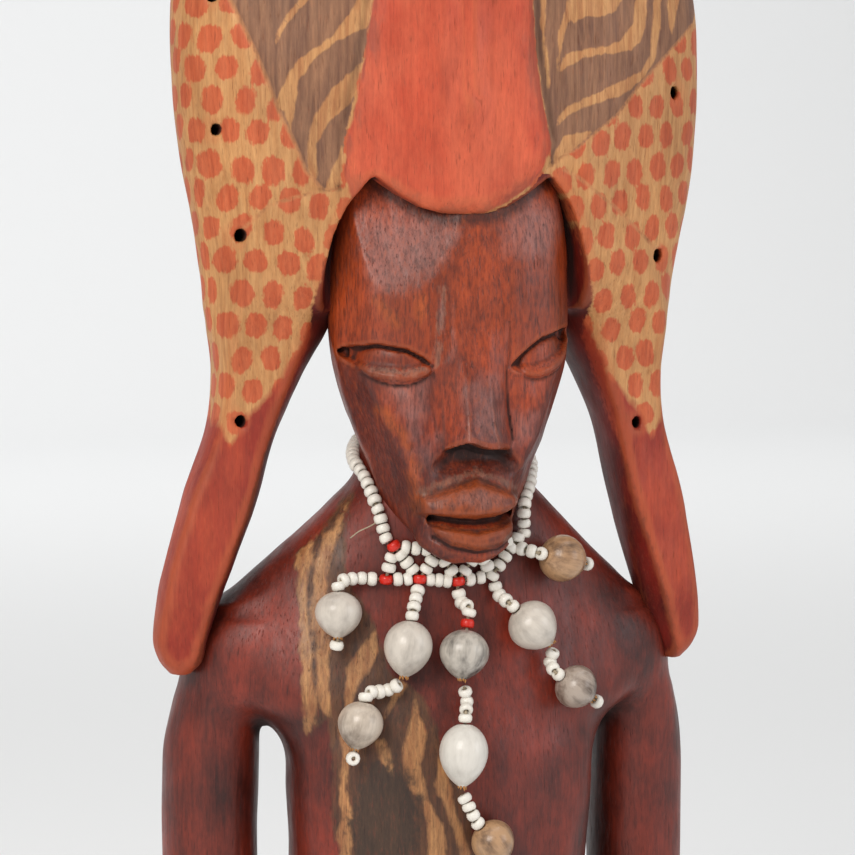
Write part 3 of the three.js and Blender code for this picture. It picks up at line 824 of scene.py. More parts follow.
chestPaint = {
    "outline": [
        (-17.4, 163), (-20.1, 159.8), (-23.4, 155.5), (-27.8, 151.1), (-28.4, 144.5), (-28.2, 137.9),
        (-28.7, 128.4), (-27.9, 119.5), (-26.8, 117.6), (-25.4, 121), (-23.8, 121.9), (-23.8, 116.3),
        (-22.9, 112), (-23.5, 105.1), (-22.3, 96), (-23, 86), (-20, 78), (6, 78), (4.4, 88), (2.8, 97.4),
        (1.2, 105.6), (-1.1, 110.8), (-4, 115), (-5.1, 120.6), (-7.8, 126.2), (-12.5, 128.9),
        (-13.7, 133.6), (-15.9, 140.2), (-19.1, 144.9), (-20.1, 151.1), (-19.2, 157.3),
    ],
    "flames": [
        [
            (-18.7, 160.5), (-20.7, 157.2), (-21.3, 155.7), (-22.9, 154.7), (-24.1, 151.4),
            (-25.4, 146.6), (-26.3, 140.8), (-25.9, 135.2), (-25.8, 130.4), (-25.7, 123.7),
            (-23.6, 121.9), (-23.3, 135.2), (-23.3, 144.7), (-22.9, 149.1), (-21.6, 152.4),
            (-20.2, 155.8),
        ],
        [
            (-23.4, 155.5), (-27.9, 150.6), (-28.4, 144.5), (-28.3, 137.9), (-28.9, 128.4), (-27.9, 118),
            (-26.6, 118.6), (-26, 123.7), (-26.4, 130.4), (-26.9, 140.8), (-26.4, 147.5), (-25.3, 152.2),
        ],
        [
            (-15, 137.3), (-18.1, 134), (-20.6, 130.6), (-21.2, 125.8), (-20.6, 120), (-19.9, 124),
            (-19.1, 127.3), (-16.8, 129.8), (-14.7, 133.6),
        ],
        [
            (-22.1, 121.5), (-21.7, 115.1), (-22.2, 109.2), (-21.8, 104.4), (-22.6, 99.3), (-22, 92),
            (-20.6, 86), (-20.2, 96.3), (-20.5, 100.6), (-20.3, 105.5), (-21.2, 109.3), (-20.3, 114.2),
            (-20.3, 119.6),
        ],
        [
            (-8.6, 124.8), (-11.1, 115.8), (-10.9, 110.6), (-7.4, 105.5), (-6.7, 97.4), (-7.6, 90),
            (-4, 86), (-3.4, 97.4), (-4.1, 101.7), (-6.8, 106.9), (-8, 113.5), (-6.7, 119.2),
        ],
        [
            (-4.5, 115), (-5.5, 109.3), (-3.2, 104.1), (-0.9, 97.5), (0, 88), (1.6, 90), (0.9, 97.5),
            (-1.9, 105.6), (-2.4, 109.8),
        ],
        [(-16.2, 118.4), (-15.3, 114.6), (-12.8, 110.9), (-13.5, 114.7), (-14.3, 118)],
        [(-10.3, 130.4), (-12.6, 126.1), (-14.4, 121.8), (-12.5, 124), (-9.8, 128.2)],
    ],
    "blot": (-14.4, 102.6, 6.1, 11.5),
}


def carveBody():
    block = openBlock((-54, -40, -1.2), (54, 40, 187), 0.84)
    x, y, z = block["x"], block["y"], block["z"]
    field = stackOf(block, torsoRows, endSoft=1.0)
    arms = stackOf(block, armRows, bothSides=True)
    blend = alongTable(z, [(0, 1.0), (108, 1.2), (118, 3.5), (134, 7)])
    field = join(field, arms, blend)

    xz = np.broadcast_to(x, (x.shape[0], 1, z.shape[2]))
    zz = np.broadcast_to(z, xz.shape)
    side = np.abs(xz)
    # the wrap: a rolled waist, and an overlap that runs down the front
    waist = 1.1 * ramp(-np.abs(zz - 76), -3.2, -1.2)
    overlap = [(-6, 74), (-3, 56), (2, 36), (4, 12)]
    fold = 0.9 * (1 - ramp(lineDistance(xz, zz, overlap), 0.2, 1.1)) * ramp(-y, 5, 12)
    # fingers
    fingers = 0
    for cx in (39.3, 41.9, 44.4):
        fingers = fingers + 0.8 * (1 - ramp(np.abs(side - cx), 0.1, 0.9)) * (1 - ramp(zz, 44, 52))
    field = field - waist * (1 - ramp(np.abs(x), 32.6, 33.4)) + fold + fingers * ramp(-y, 4, 7)
    field = join(field, stackOf(block, plinthRows), 1.0)
    # the flat cuts of the chest and the shoulders
    for s in (-1, 1):
        flat = shave(block, field, (12 * s, -26.9, 108), (0.3 * s, -0.95, 0.02), 0.5, 1.5)
        field = field + (flat - field) * ramp(z, 84, 100)
    knife = 0.2 * unevenness(block, (7, 7, 12), 21) + 0.07 * unevenness(block, (2.5, 2.5, 6), 22)
    field = field + knife * ramp(z, 0.5, 3)
    field = np.maximum(field, -z)
    obj, points = toMesh("carved_body", block, field)
    storeHollows(obj, block, field, points)
    px, py, pz = points.T
    front = py < -6
    storeValues(obj, "chest", np.where(front, -outlineDistance(px, pz, chestPaint["outline"]), -9))
    storeValues(obj, "flames", -distanceToAny(px, pz, chestPaint["flames"]))
    bx, bz, wide, tall = chestPaint["blot"]
    storeValues(obj, "blot", (1 - np.hypot((px - bx) / wide, (pz - bz) / tall)) * wide)
    # the facing sides of arms and torso, for painted shade in the gap between them
    inner = np.maximum(ramp(-np.abs(np.abs(px) - 31.5), -5, -2.2) * (1 - ramp(pz, 120, 126)), 0)
    storeValues(obj, "slot", inner)
    return obj


carvedHead = carveHead()
carvedHeaddress = carveHeaddress()
carvedBody = carveBody()
for piece in (carvedHead, carvedHeaddress, carvedBody):
    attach(piece, "figure")
    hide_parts("carved_figure")

# beads and seeds
bead = {
    "pitch": 1.85,
    "gap": 0.32,
    "restHeight": 1.7,
    # radius and height of the rounded ring, from the hole round the outside and back
    "profile": [
        (0.42, -0.5), (0.66, -0.84), (1.08, -0.74), (1.3, -0.3),
        (1.3, 0.3), (1.08, 0.74), (0.66, 0.84), (0.42, 0.5),
    ],
    "steps": 12,
    "thread": 0.3,
}
knots = {
    "red_1": (-11.4, 153),
    "red_2": (-12.9, 146.9),
    "red_3": (-7, 147),
    "red_4": (0, 146.4),
    "white_1": (-3.7, 152.2),
    "white_2": (3.6, 152.2),
    "white_3": (6.4, 147.3),
    "white_4": (11.2, 154),
}
netStrands = [
    ("red_1", "red_2"),
    ("red_1", "red_3"),
    ("red_1", "white_1"),
    ("red_2", "red_3"),
    ("white_1", "red_3"),
    ("white_1", "red_4"),
    ("white_1", "white_2"),
    ("red_3", "red_4"),
    ("white_2", "red_4"),
    ("white_2", "white_3"),
    ("red_4", "white_3"),
    ("white_2", "white_4"),
    ("white_3", "white_4"),
]
neckRoute = [(27.5, 154.6), (39.5, 159.8), (64, 165.2), (90, 168.6), (132, 171.4), (180, 172.4)]
# each link: its body, its strand (x, z, height over the wood), seed head, seed tip, radius, seed finish
drops = [
    {
        "knot": "red_2",
        "links": [
            (
                "drop_1", [(-15.2, 146.9, 1.7), (-17.8, 147, 2.4)], (-20.6, 144.2, 4.7),
                (-21.5, 135.6, 4.6), 4.3, "pearl",
            ),
        ],
        "end": (-22, 133.6, 4),
    },
    {
        "knot": "red_3",
        "links": [
            ("drop_2_upper", [(-7.3, 144.7, 1.7)], (-9, 138.9, 4.6), (-10.8, 128.6, 4.4), 4.3, "pearl"),
            (
                "drop_2_lower", [(-11.6, 127.2, 3.6), (-14, 126.4, 2.6)], (-17.4, 124.4, 4.4),
                (-19, 115.7, 4.4), 4.15, "dusk",
            ),
        ],
        "end": (-19.4, 113.8, 4),
    },
    {
        "knot": "red_4",
        "links": [
            (
                "drop_3_upper", [(-0.2, 144, 1.7), (0.5, 142.2, 2.3)], (0.6, 137, 4.7),
                (-0.8, 127.8, 4.7), 4.45, "smoke",
            ),
            (
                "drop_3_middle", [(0, 126.2, 3.8), (0.4, 124.2, 2.9)], (-0.6, 120, 4.7),
                (-1.6, 109.4, 4.6), 4.35, "cream",
            ),
            ("drop_3_lower", [(-1.2, 107.8, 3.6)], (1.9, 102.5, 4.5), (6.6, 96.3, 4.4), 4, "brown"),
        ],
        "end": (7.9, 95, 4),
    },
    {
        "knot": "white_3",
        "links": [
            (
                "drop_4_upper", [(6.9, 145.3, 1.7), (7.4, 143.6, 2.2)], (9.8, 140.4, 4.7),
                (16.2, 133.6, 4.7), 4.55, "pearl",
            ),
            (
                "drop_4_lower", [(17.2, 132.2, 3.8), (16.6, 130.6, 2.8)], (18, 127.6, 4.3),
                (23.8, 123.6, 4.2), 3.95, "umber",
            ),
        ],
        "end": (25.6, 122.8, 3.9),
    },
    {
        "knot": "white_4",
        "links": [
            ("drop_5", [(10.9, 151.4, 1.9)], (14.9, 150.6, 4.6), (22.7, 147.9, 4.6), 4.35, "brown"),
        ],
        "end": (24.5, 147.4, 4.1),
    },
]
seedFinishes = {
    "pearl": ("#ccc3b7", "#7a7067", 0.42),
    "dusk": ("#c4b6a6", "#665546", 0.6),
    "smoke": ("#bbb3a8", "#45403b", 0.72),
    "cream": ("#d6d1c8", "#938c82", 0.3),
    "brown": ("#b08a66", "#4e3422", 0.85),
    "umber": ("#a8998c", "#44301f", 0.85),
}


def chestFront(x, z):
    half, front, wide, _, roundness, sweep = rowsAt(torsoRows, np.array([float(z)]))[2:, 0]
    across = min(abs(x / half), 1)
    return wide + (front - wide) * (1 - across**roundness) ** (1 / roundness) + sweep * across * across


def chestNormal(x, z):
    d = 0.5
    slopeX = (chestFront(x + d, z) - chestFront(x - d, z)) / (2 * d)
    slopeZ = (chestFront(x, z + d) - chestFront(x, z - d)) / (2 * d)
    return Vector((slopeX, -1, slopeZ)).normalized()


def overChest(place):
    x, z = place[:2]
    height = place[2] if len(place) > 2 else bead["restHeight"]
    return Vector((x, chestFront(x, z), z)) + chestNormal(x, z) * height


def smoothPath(points, samples=20):
    # a curve through the points, as a dense line
    ends = [points[0] * 2 - points[1], *points, points[-1] * 2 - points[-2]]
    line = []
    for a, b, c, d in zip(ends, ends[1:], ends[2:], ends[3:]):
        for i in range(samples):
            t = i / samples
            line.append(
                (b * 2 + (c - a) * t + (a * 2 - b * 5 + c * 4 - d) * t**2 + (b * 3 - a - c * 3 + d) * t**3) / 2
            )
    return [*line, points[-1]]


def onPath(line, share):
    # the place and the direction at a share of the length
    lengths = [0.0]
    for a, b in zip(line, line[1:]):
        lengths.append(lengths[-1] + (b - a).length)
    target = share * lengths[-1]
    i = min(max(int(np.searchsorted(lengths, target)) - 1, 0), len(line) - 2)
    step = lengths[i + 1] - lengths[i]
    share = (target - lengths[i]) / max(step, 1e-9)
    return line[i].lerp(line[i + 1], share), (line[i + 1] - line[i]).normalized()


def pathLength(line):
    return sum((b - a).length for a, b in zip(line, line[1:]))


def turned(profile, steps, ring=True):
    # spins a profile of radius and height round Z
    bm = bmesh.new()
    verts = [bm.verts.new((r, 0, h)) for r, h in profile]
    edges = [bm.edges.new(pair) for pair in zip(verts, verts[1:])]
    if ring:
        edges.append(bm.edges.new((verts[-1], verts[0])))
    bmesh.ops.spin(
        bm, geom=verts + edges, cent=(0, 0, 0), axis=(0, 0, 1), angle=2 * math.pi, steps=steps, use_merge=True
    )
    bmesh.ops.remove_doubles(bm, verts=bm.verts, dist=1e-4)
    bmesh.ops.recalc_face_normals(bm, faces=bm.faces)
    for spun in bm.faces:
        spun.smooth = True
    return bm


def standing(place, along, spin=0.0):
    turn = Vector((0, 0, 1)).rotation_difference(along)
    return Matrix.Translation(place) @ (turn @ Quaternion((0, 0, 1), spin)).to_matrix().to_4x4()


def addCopy(bm, template, matrix, slotIndex=0):
    # puts a turned template into a bigger mesh
    before = len(bm.verts)
    firstFace = len(bm.faces)
    bm.from_mesh(template)
    bm.verts.ensure_lookup_table()
    bm.faces.ensure_lookup_table()
    bmesh.ops.transform(bm, matrix=matrix, verts=bm.verts[before:])
    for f in bm.faces[firstFace:]:
        f.material_index = slotIndex


def addThread(bm, line, radius, slotIndex=1, around=6):
    # a thin closed tube along a dense line
    previous, first = None, None
    side = Vector((0.3, 1, 0.2))
    for i, place in enumerate(line):
        along = (line[min(i + 1, len(line) - 1)] - line[max(i - 1, 0)]).normalized()
        side = (side - along * side.dot(along)).normalized()
        up = along.cross(side)
        made = bmesh.ops.create_circle(bm, segments=around, radius=radius)["verts"]
        frameMatrix = Matrix((side, up, along)).transposed().to_4x4()
        frameMatrix.translation = place
        bmesh.ops.transform(bm, matrix=frameMatrix, verts=made)
        edges = [e for e in {e for v in made for e in v.link_edges}]
        if previous:
            for f in bmesh.ops.bridge_loops(bm, edges=previous + edges)["faces"]:
                f.material_index = slotIndex
                f.smooth = True
        else:
            first = made
        previous, last = edges, made
    for cap in (first, last):
        bm.faces.new(cap).material_index = slotIndex


def toMetres(name, bm):
    bmesh.ops.transform(bm, matrix=Matrix.Scale(mm, 4), verts=bm.verts)
    mesh = bpy.data.meshes.new(name)
    bm.to_mesh(mesh)
    bm.free()
    obj = bpy.data.objects.new(name, mesh)
    bpy.context.collection.objects.link(obj)
    return obj


def templateMesh(name, bm):
    mesh = bpy.data.meshes.new(name)
    bm.to_mesh(mesh)
    bm.free()
    return mesh


beadTemplate = templateMesh("bead_form", turned(bead["profile"], bead["steps"]))


def addBeads(bm, line, count=None):
    # real beads are never quite the same size, and they sit a little askew
    count = count or max(1, round(pathLength(line) / bead["pitch"]))
    for i in range(count):
        place, along = onPath(line, (i + 0.5) / count)
        askew = Vector(rng.normal(0, 0.07, 3).tolist())
        size = float(rng.uniform(0.93, 1.05))
        matrix = standing(place, (along + askew).normalized(), float(rng.uniform(0, 6)))
        length = float(rng.uniform(0.9, 1.06))
        addCopy(bm, beadTemplate, matrix @ Matrix.Diagonal((size, size, length, 1)))


def finishBeads(name, bm, body, nodes):
    obj = toMetres(name, bm)
    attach(obj, body)
    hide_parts(*nodes)
    return obj


def neckBeads():
    half = []
    for degrees, z in neckRoute:
        wideHalf, front, wide, back, roundness, sweep = rowsAt(torsoRows, np.array([float(z)]))[2:, 0]
        angle = -math.radians(degrees)
        side, ahead = math.sin(angle), math.cos(angle)
        across = math.copysign(abs(side) ** (2 / roundness), side)
        reach = front - wide if ahead > 0 else back - wide
        y = wide + reach * abs(ahead) ** (2 / roundness) + sweep * across * across
        point = Vector((wideHalf * across, y, z))
        half.append(point + Vector((point.x, point.y - wide, 0)).normalized() * 1.35)
    other = [Vector((-p.x, p.y, p.z)) for p in reversed(half[:-1])]
    # on the right the strand lies closer in, behind the jaw
    for i, share in ((-1, 0.94), (-2, 0.86), (-3, 0.95)):
        other[i] = overChest((other[i].x * share, other[i].z)) if i > -3 else other[i]
    ends = [overChest(knots["red_1"]), overChest(knots["white_4"])]
    first = half[0].lerp(ends[0], 0.45)
    last = other[-1].lerp(ends[1], 0.3)
    line = smoothPath([first, *half, *other, last])
    bm = bmesh.new()
    addBeads(bm, line)
    addThread(bm, line[::4], bead["thread"])
    return finishBeads("neck_beads", bm, "figure", ["neck_strand"])


def netBeads():
    white, red = bmesh.new(), bmesh.new()
    for name, place in knots.items():
        centre = overChest(place)
        target = red if name.startswith("red") else white
        tilt = Vector((float(rng.uniform(-0.6, 0.6)), float(rng.uniform(-0.35, 0.1)), 1)).normalized()
        addCopy(target, beadTemplate, standing(centre, tilt))
    for start, end in netStrands:
        a, b = overChest(knots[start]), overChest(knots[end])
        line = [a.lerp(b, i / 12) for i in range(13)]
        along = (b - a).normalized()
        inner = [a + along * 1.25, b - along * 1.25]
        room = (inner[1] - inner[0]).length
        stretch = [inner[0].lerp(inner[1], i / 6) for i in range(7)]
        addBeads(white, stretch, max(1, round(room / bead["pitch"])))
        addThread(white, line[::6], bead["thread"])
    for drop in drops:
        knot, first = overChest(knots[drop["knot"]]), overChest(drop["links"][0][1][0])
        addThread(white, [knot, knot.lerp(first, 0.8)], bead["thread"])
    # a loose end of thread beside the neck
    tail = [(-13.9, 157.2, 1.4), (-15.2, 156.2, 2.2), (-16.8, 155.2, 2.4), (-18.4, 153.9, 2)]
    addThread(white, smoothPath([overChest(place) for place in tail], 5), 0.13)
    nodes = [f"net_strand_{i + 1}" for i in range(len(netStrands))]
    whiteKnots = ["knot_bead_" + k for k in knots if k.startswith("white")]
    redKnots = ["knot_bead_" + k for k in knots if k.startswith("red")]
    return (
        finishBeads("net_beads", white, "figure", nodes + whiteKnots),
        finishBeads("net_red_beads", red, "figure", redKnots),
    )


def seedForm(radius, length, hole=0.55):
    # drawn to a point at the foot, round where the strand goes in
    rows = []
    for i in range(1, 22):
        t = 0.5 - 0.5 * math.cos(math.pi * i / 22)
        wide = math.sqrt(1 - ((t - 0.56) / 0.45) ** 2) if t > 0.56 else (1 - ((0.56 - t) / 0.56) ** 1.9) ** 0.72
        rows.append((max(radius * wide, hole + 0.15), length * t))
    return turned([(hole, length * 0.03), *rows, (hole + 0.12, length * 0.985), (hole, length * 0.95)], 28)


def makeSeed(name, body, headPlace, tipPlace, radius):
    top, tip = overChest(headPlace), overChest(tipPlace)
    along = (top - tip).normalized()
    length = (top - tip).length
    form = seedForm(radius * 1.04, length)
    lopsided = Matrix.Diagonal((1.0, float(rng.uniform(0.95, 1.0)), 1, 1))
    local = [v.co.copy() for v in form.verts]
    bm = bmesh.new()
    matrix = standing(tip, along, float(rng.uniform(0, 6)))
    addCopy(bm, templateMesh(name + "_form", form), matrix @ lopsided)
    # the dry, frayed stub at the pointed end
    count = 7
    for i in range(count):
        angle = 2 * math.pi * i / count
        long = float(rng.uniform(0.35, 0.9))
        strip = turned([(0.02, -long), (0.22, -long * 0.4), (0.27, 0.5), (0.02, 0.7)], 5, ring=False)
        out = Vector((math.cos(angle), math.sin(angle), 0))
        lean = standing(out * 0.62 + Vector((0, 0, 0.25)), (Vector((0, 0, 1)) - out * 0.28).normalized())
        addCopy(bm, templateMesh(name + "_strip", strip), matrix @ lean, 1)
    obj = finishBeads(name, bm, body, [name])
    values = np.zeros((len(obj.data.vertices), 3), dtype=np.float32)
    values[: len(local)] = [tuple(c) for c in local]
    values[len(local) :, 2] = length * 2
    layer = obj.data.attributes.new("onSeed", "FLOAT_VECTOR", "POINT")
    layer.data.foreach_set("vector", values.ravel())
    return obj


def makeDrops():
    made = []
    for d, drop in enumerate(drops, 1):
        for k, (body, strand, headPlace, tipPlace, radius, finish) in enumerate(drop["links"], 1):
            name = f"drop_{d}_link_{k}"
            top, tip = overChest(headPlace), overChest(tipPlace)
            up = (top - tip).normalized()
            red = d == 3 and k == 1
            stop = bead["pitch"] + 2 * bead["gap"] if red else 0.1
            points = [overChest(p) for p in strand]
            if k == 1:
                knot = overChest(knots[drop["knot"]])
                points[0] = points[0] + (knot - points[0]).normalized() * 0.8
            else:
                points[0] = points[0].lerp(overChest(drop["links"][k - 2][3]), 0.25)
            points += [top + up * (stop + bead["pitch"] * 0.9), top + up * stop]
            line = smoothPath(points)
            bm = bmesh.new()
            addBeads(bm, line)
            addThread(bm, line[::5] + [top + up * 0.1, top - up * 2.5], bead["thread"])
            strandPiece = finishBeads(name + "_strand", bm, body, [name + "_strand"])
            made.append((strandPiece, "white"))
            if red:
                bm = bmesh.new()
                addCopy(bm, beadTemplate, standing(top + up * (bead["gap"] + bead["pitch"] / 2), up))
                made.append((finishBeads("drop_3_red_bead", bm, body, ["drop_3_red_bead"]), "red"))
            made.append((makeSeed(name + "_seed", body, headPlace, tipPlace, radius), finish))
        body, tip = drop["links"][-1][0], overChest(drop["links"][-1][3])
        end = overChest(drop["end"])
        line = (end - tip).normalized()
        middle = tip + line * (bead["pitch"] / 2 + bead["gap"])
        bm = bmesh.new()
        if d == 2:
            # this one hangs flat, with its hole to the front
            middle = middle + line * 0.35
            addCopy(bm, beadTemplate, standing(middle, Vector((0.05, -1, 0.05)).normalized()))
        else:
            addCopy(bm, beadTemplate, standing(middle, line))
        addThread(bm, [tip - line * 0.4, tip, middle], bead["thread"])
        name = f"drop_{d}_end_bead"
        made.append((finishBeads(name, bm, body, [name]), "white"))
    return made


neck = neckBeads()
netWhite, netRed = netBeads()
dropPieces = makeDrops()
print("necklace strung")

# paints and finishes


def newFinish(name, **shaderValues):
    material = bpy.data.materials.new(name)
    material.use_nodes = True
    tree = material.node_tree
    shader = tree.nodes["Principled BSDF"]
    for key, value in shaderValues.items():
        shader.inputs[key.replace("_", " ")].default_value = value
    return material, tree, shader


def inMillimetres(tree, scale, turn=(0, 0, 0)):
    place = addNode(tree, "TexCoord").outputs["Object"]
    size = tuple(1000 * s for s in scale)
    return addNode(tree, "Mapping", {"Vector": place, "Scale": size, "Rotation": turn}).outputs[0]


def noise(tree, scale, detail=3.0, rough=0.55, distort=0.0, turn=(0, 0, 0)):
    # scale is in features per millimetre along x, y and z
    where = inMillimetres(tree, scale, turn)
    return addNode(
        tree,
        "TexNoise",
        {"Vector": where, "Scale": 1.0, "Detail": detail, "Roughness": rough, "Distortion": distort},
    ).outputs["Fac"]


def between(tree, value, low, high, outLow=0.0, outHigh=1.0):
    return addNode(
        tree,
        "MapRange",
        {"Value": value, "From Min": low, "From Max": high, "To Min": outLow, "To Max": outHigh},
    ).outputs[0]


def maths(tree, how, a, b=0.0, c=0.0):
    return addNode(tree, "Math", {0: a, 1: b, 2: c}, operation=how).outputs[0]


def blendColours(tree, share, a, b, how="MIX"):
    a, b = (linearColour(c) if isinstance(c, str) else c for c in (a, b))
    values = {0: share, 6: a, 7: b}
    return addNode(tree, "Mix", values, data_type="RGBA", blend_type=how).outputs[2]


def shaded(tree, colour, shade):
    grey = addNode(tree, "CombineColor", {0: shade, 1: shade, 2: shade}).outputs[0]
    return blendColours(tree, 1.0, colour, grey, "MULTIPLY")


def stored(tree, name):
    return addNode(tree, "Attribute", attribute_name=name).outputs["Fac"]


def brushed(tree, name, soft, fray, scale=(1.3, 1.3, 0.7), shift=0.0):
    # a painted area from a distance in millimetres, with a frayed edge
    wander = between(tree, noise(tree, scale, 3), 0.3, 0.7, -fray, fray)
    return between(tree, maths(tree, "ADD", stored(tree, name), wander), shift - soft, shift + soft)


def carvedFinish(colour, tree, shader, look):
    # fine grain, pores and stain over a painted colour, stain and painted shade darkening the cuts, then wear
    # and wax
    grain = noise(tree, (1.5, 1.5, 0.1), 4, 0.6, 0.4)
    pores = between(tree, noise(tree, (3.2, 3.2, 0.32), 2, 0.5), 0.62, 0.74)
    stain = noise(tree, (0.09, 0.09, 0.05), 4, 0.6)
    specks = between(tree, noise(tree, (1.1, 1.1, 0.9), 4, 0.7), 0.62, 0.78)
    shade = between(tree, grain, 0.3, 0.7, 1 - look["grain"], 1 + look["grain"] * 0.6)
    colour = shaded(tree, colour, shade)
    scrub = noise(tree, (1.7, 1.7, 0.42), 5, 0.72, 0.3)
    rubbed = maths(tree, "MULTIPLY", between(tree, scrub, 0.46, 0.7), look["scrub"])
    colour = blendColours(tree, rubbed, colour, look["poreColour"])
    rubbed = maths(tree, "MULTIPLY", between(tree, scrub, 0.46, 0.3), look["scrub"] * 0.6)
    colour = blendColours(tree, rubbed, colour, look["wornColour"])
    shade = between(tree, stain, 0.32, 0.68, 1 - look["stain"], 1 + look["stain"] * 0.5)
    colour = shaded(tree, colour, shade)
    colour = blendColours(tree, maths(tree, "MULTIPLY", pores, look["pores"]), colour, look["poreColour"])
    colour = blendColours(tree, maths(tree, "MULTIPLY", specks, look["specks"]), colour, look["poreColour"])
    edge = stored(tree, "edge")
    # darker in the cuts: stain held there, and painted shade
    hollow = between(tree, edge, -0.05, -0.24)
    colour = blendColours(tree, maths(tree, "MULTIPLY", hollow, look["hollow"]), colour, look["cutStainAndShadeColour"])
    worn = between(tree, maths(tree, "ADD", edge, between(tree, grain, 0.3, 0.7, -0.05, 0.03)), 0.05, 0.16)
    colour = blendColours(tree, maths(tree, "MULTIPLY", worn, look["worn"]), colour, look["wornColour"])
    tree.links.new(colour, shader.inputs["Base Color"])
    gloss = between(tree, noise(tree, (0.35, 0.35, 0.12), 4, 0.6), 0.3, 0.7, look["rough"][0], look["rough"][1])
    gloss = maths(tree, "ADD", gloss, maths(tree, "MULTIPLY", pores, 0.2))
    gloss = maths(tree, "ADD", gloss, maths(tree, "MULTIPLY", hollow, 0.4))
    tree.links.new(gloss, shader.inputs["Roughness"])
    marks = noise(tree, (0.55, 0.55, 0.22), 3, 0.5)
    height = maths(tree, "ADD", maths(tree, "MULTIPLY", pores, -0.35), maths(tree, "MULTIPLY", grain, 0.28))
    height = maths(tree, "ADD", height, maths(tree, "MULTIPLY", marks, 0.9))
    bump = addNode(tree, "Bump", {"Height": height, "Strength": 0.75, "Distance": look["bump"] * mm})
    tree.links.new(bump.outputs[0], shader.inputs["Normal"])


def headFinish():
    # hardwood under a red-brown stain, rubbed with wax: dark in the cuts from stain and painted shade, red
    # where it is worn, with a painted sheen on some facets and painted shadow under the nose and the band's tip
    material, tree, shader = newFinish("waxed_red_brown_stained_hardwood", IOR=1.5, Specular_IOR_Level=0.44)
    patches = noise(tree, (0.13, 0.13, 0.09), 4, 0.6)
    colour = blendColours(tree, between(tree, patches, 0.36, 0.66), "#5c1a10", "#9c3a18")
    high = between(tree, addNode(tree, "SeparateXYZ", {0: inMillimetres(tree, (1, 1, 1))}).outputs[2], 172, 196)
    colour = blendColours(tree, maths(tree, "MULTIPLY", high, 0.4), colour, "#ac481a")
    lips = brushed(tree, "lips", 0.3, 0.5, shift=0.0)
    colour = blendColours(tree, lips, "#8c3f1d", colour)
    jaw = brushed(tree, "jaw", 0.25, 0.3, (0.5, 0.5, 0.4), -0.35)
    colour = blendColours(tree, maths(tree, "MULTIPLY", jaw, 0.6), colour, "#4f1f1a")
    worn = brushed(tree, "rubbed", 0.7, 0.8, (0.5, 0.5, 0.3), 0.8)
    colour = blendColours(tree, maths(tree, "MULTIPLY_ADD", worn, -0.6, 0.6), colour, "#b4541c")
    # painted sheen: a greyish pink highlight on facets facing the key light
    sheenShare = brushed(tree, "paintedSheen", 1.9, 1.3, (0.4, 0.4, 0.3), 0.1)
    colour = blendColours(tree, maths(tree, "MULTIPLY_ADD", sheenShare, -0.4, 0.4), colour, "#9d7873")
    cuts = brushed(tree, "scraped", 0.4, 0.7, (1.1, 1.1, 0.5), 0.5)
    colour = blendColours(tree, maths(tree, "MULTIPLY_ADD", cuts, -0.5, 0.5), colour, "#95705c")
    # painted shade in the recess above the lip, then a darker painted shadow under the nose
    dusk = brushed(tree, "philtrum", 1.3, 0.9, (0.5, 0.5, 0.5), -0.4)
    colour = blendColours(tree, maths(tree, "MULTIPLY_ADD", dusk, -0.45, 0.45), colour, "#4a261c")
    dusk = brushed(tree, "underNose", 0.5, 0.4, (0.5, 0.5, 0.5))
    colour = blendColours(tree, maths(tree, "MULTIPLY_ADD", dusk, -0.85, 0.85), colour, "#240f0c")
    # painted shadow under the band's tip, darkest just below the brow line
    under = stored(tree, "underBrow")
    shadow = maths(tree, "MULTIPLY", between(tree, under, 3.0, 1.2), 0.75)
    colour = blendColours(tree, shadow, colour, "#2a110c")
    look = {
        "grain": 0.22, "stain": 0.28, "pores": 0.6, "specks": 0.3, "scrub": 0.75, "poreColour": "#2f110c",
        "hollow": 0.85, "cutStainAndShadeColour": "#1f0d0a", "worn": 0.35, "wornColour": "#a04a20",
        "rough": (0.32, 0.54), "bump": 0.18,
    }
    carvedFinish(colour, tree, shader, look)
    return material


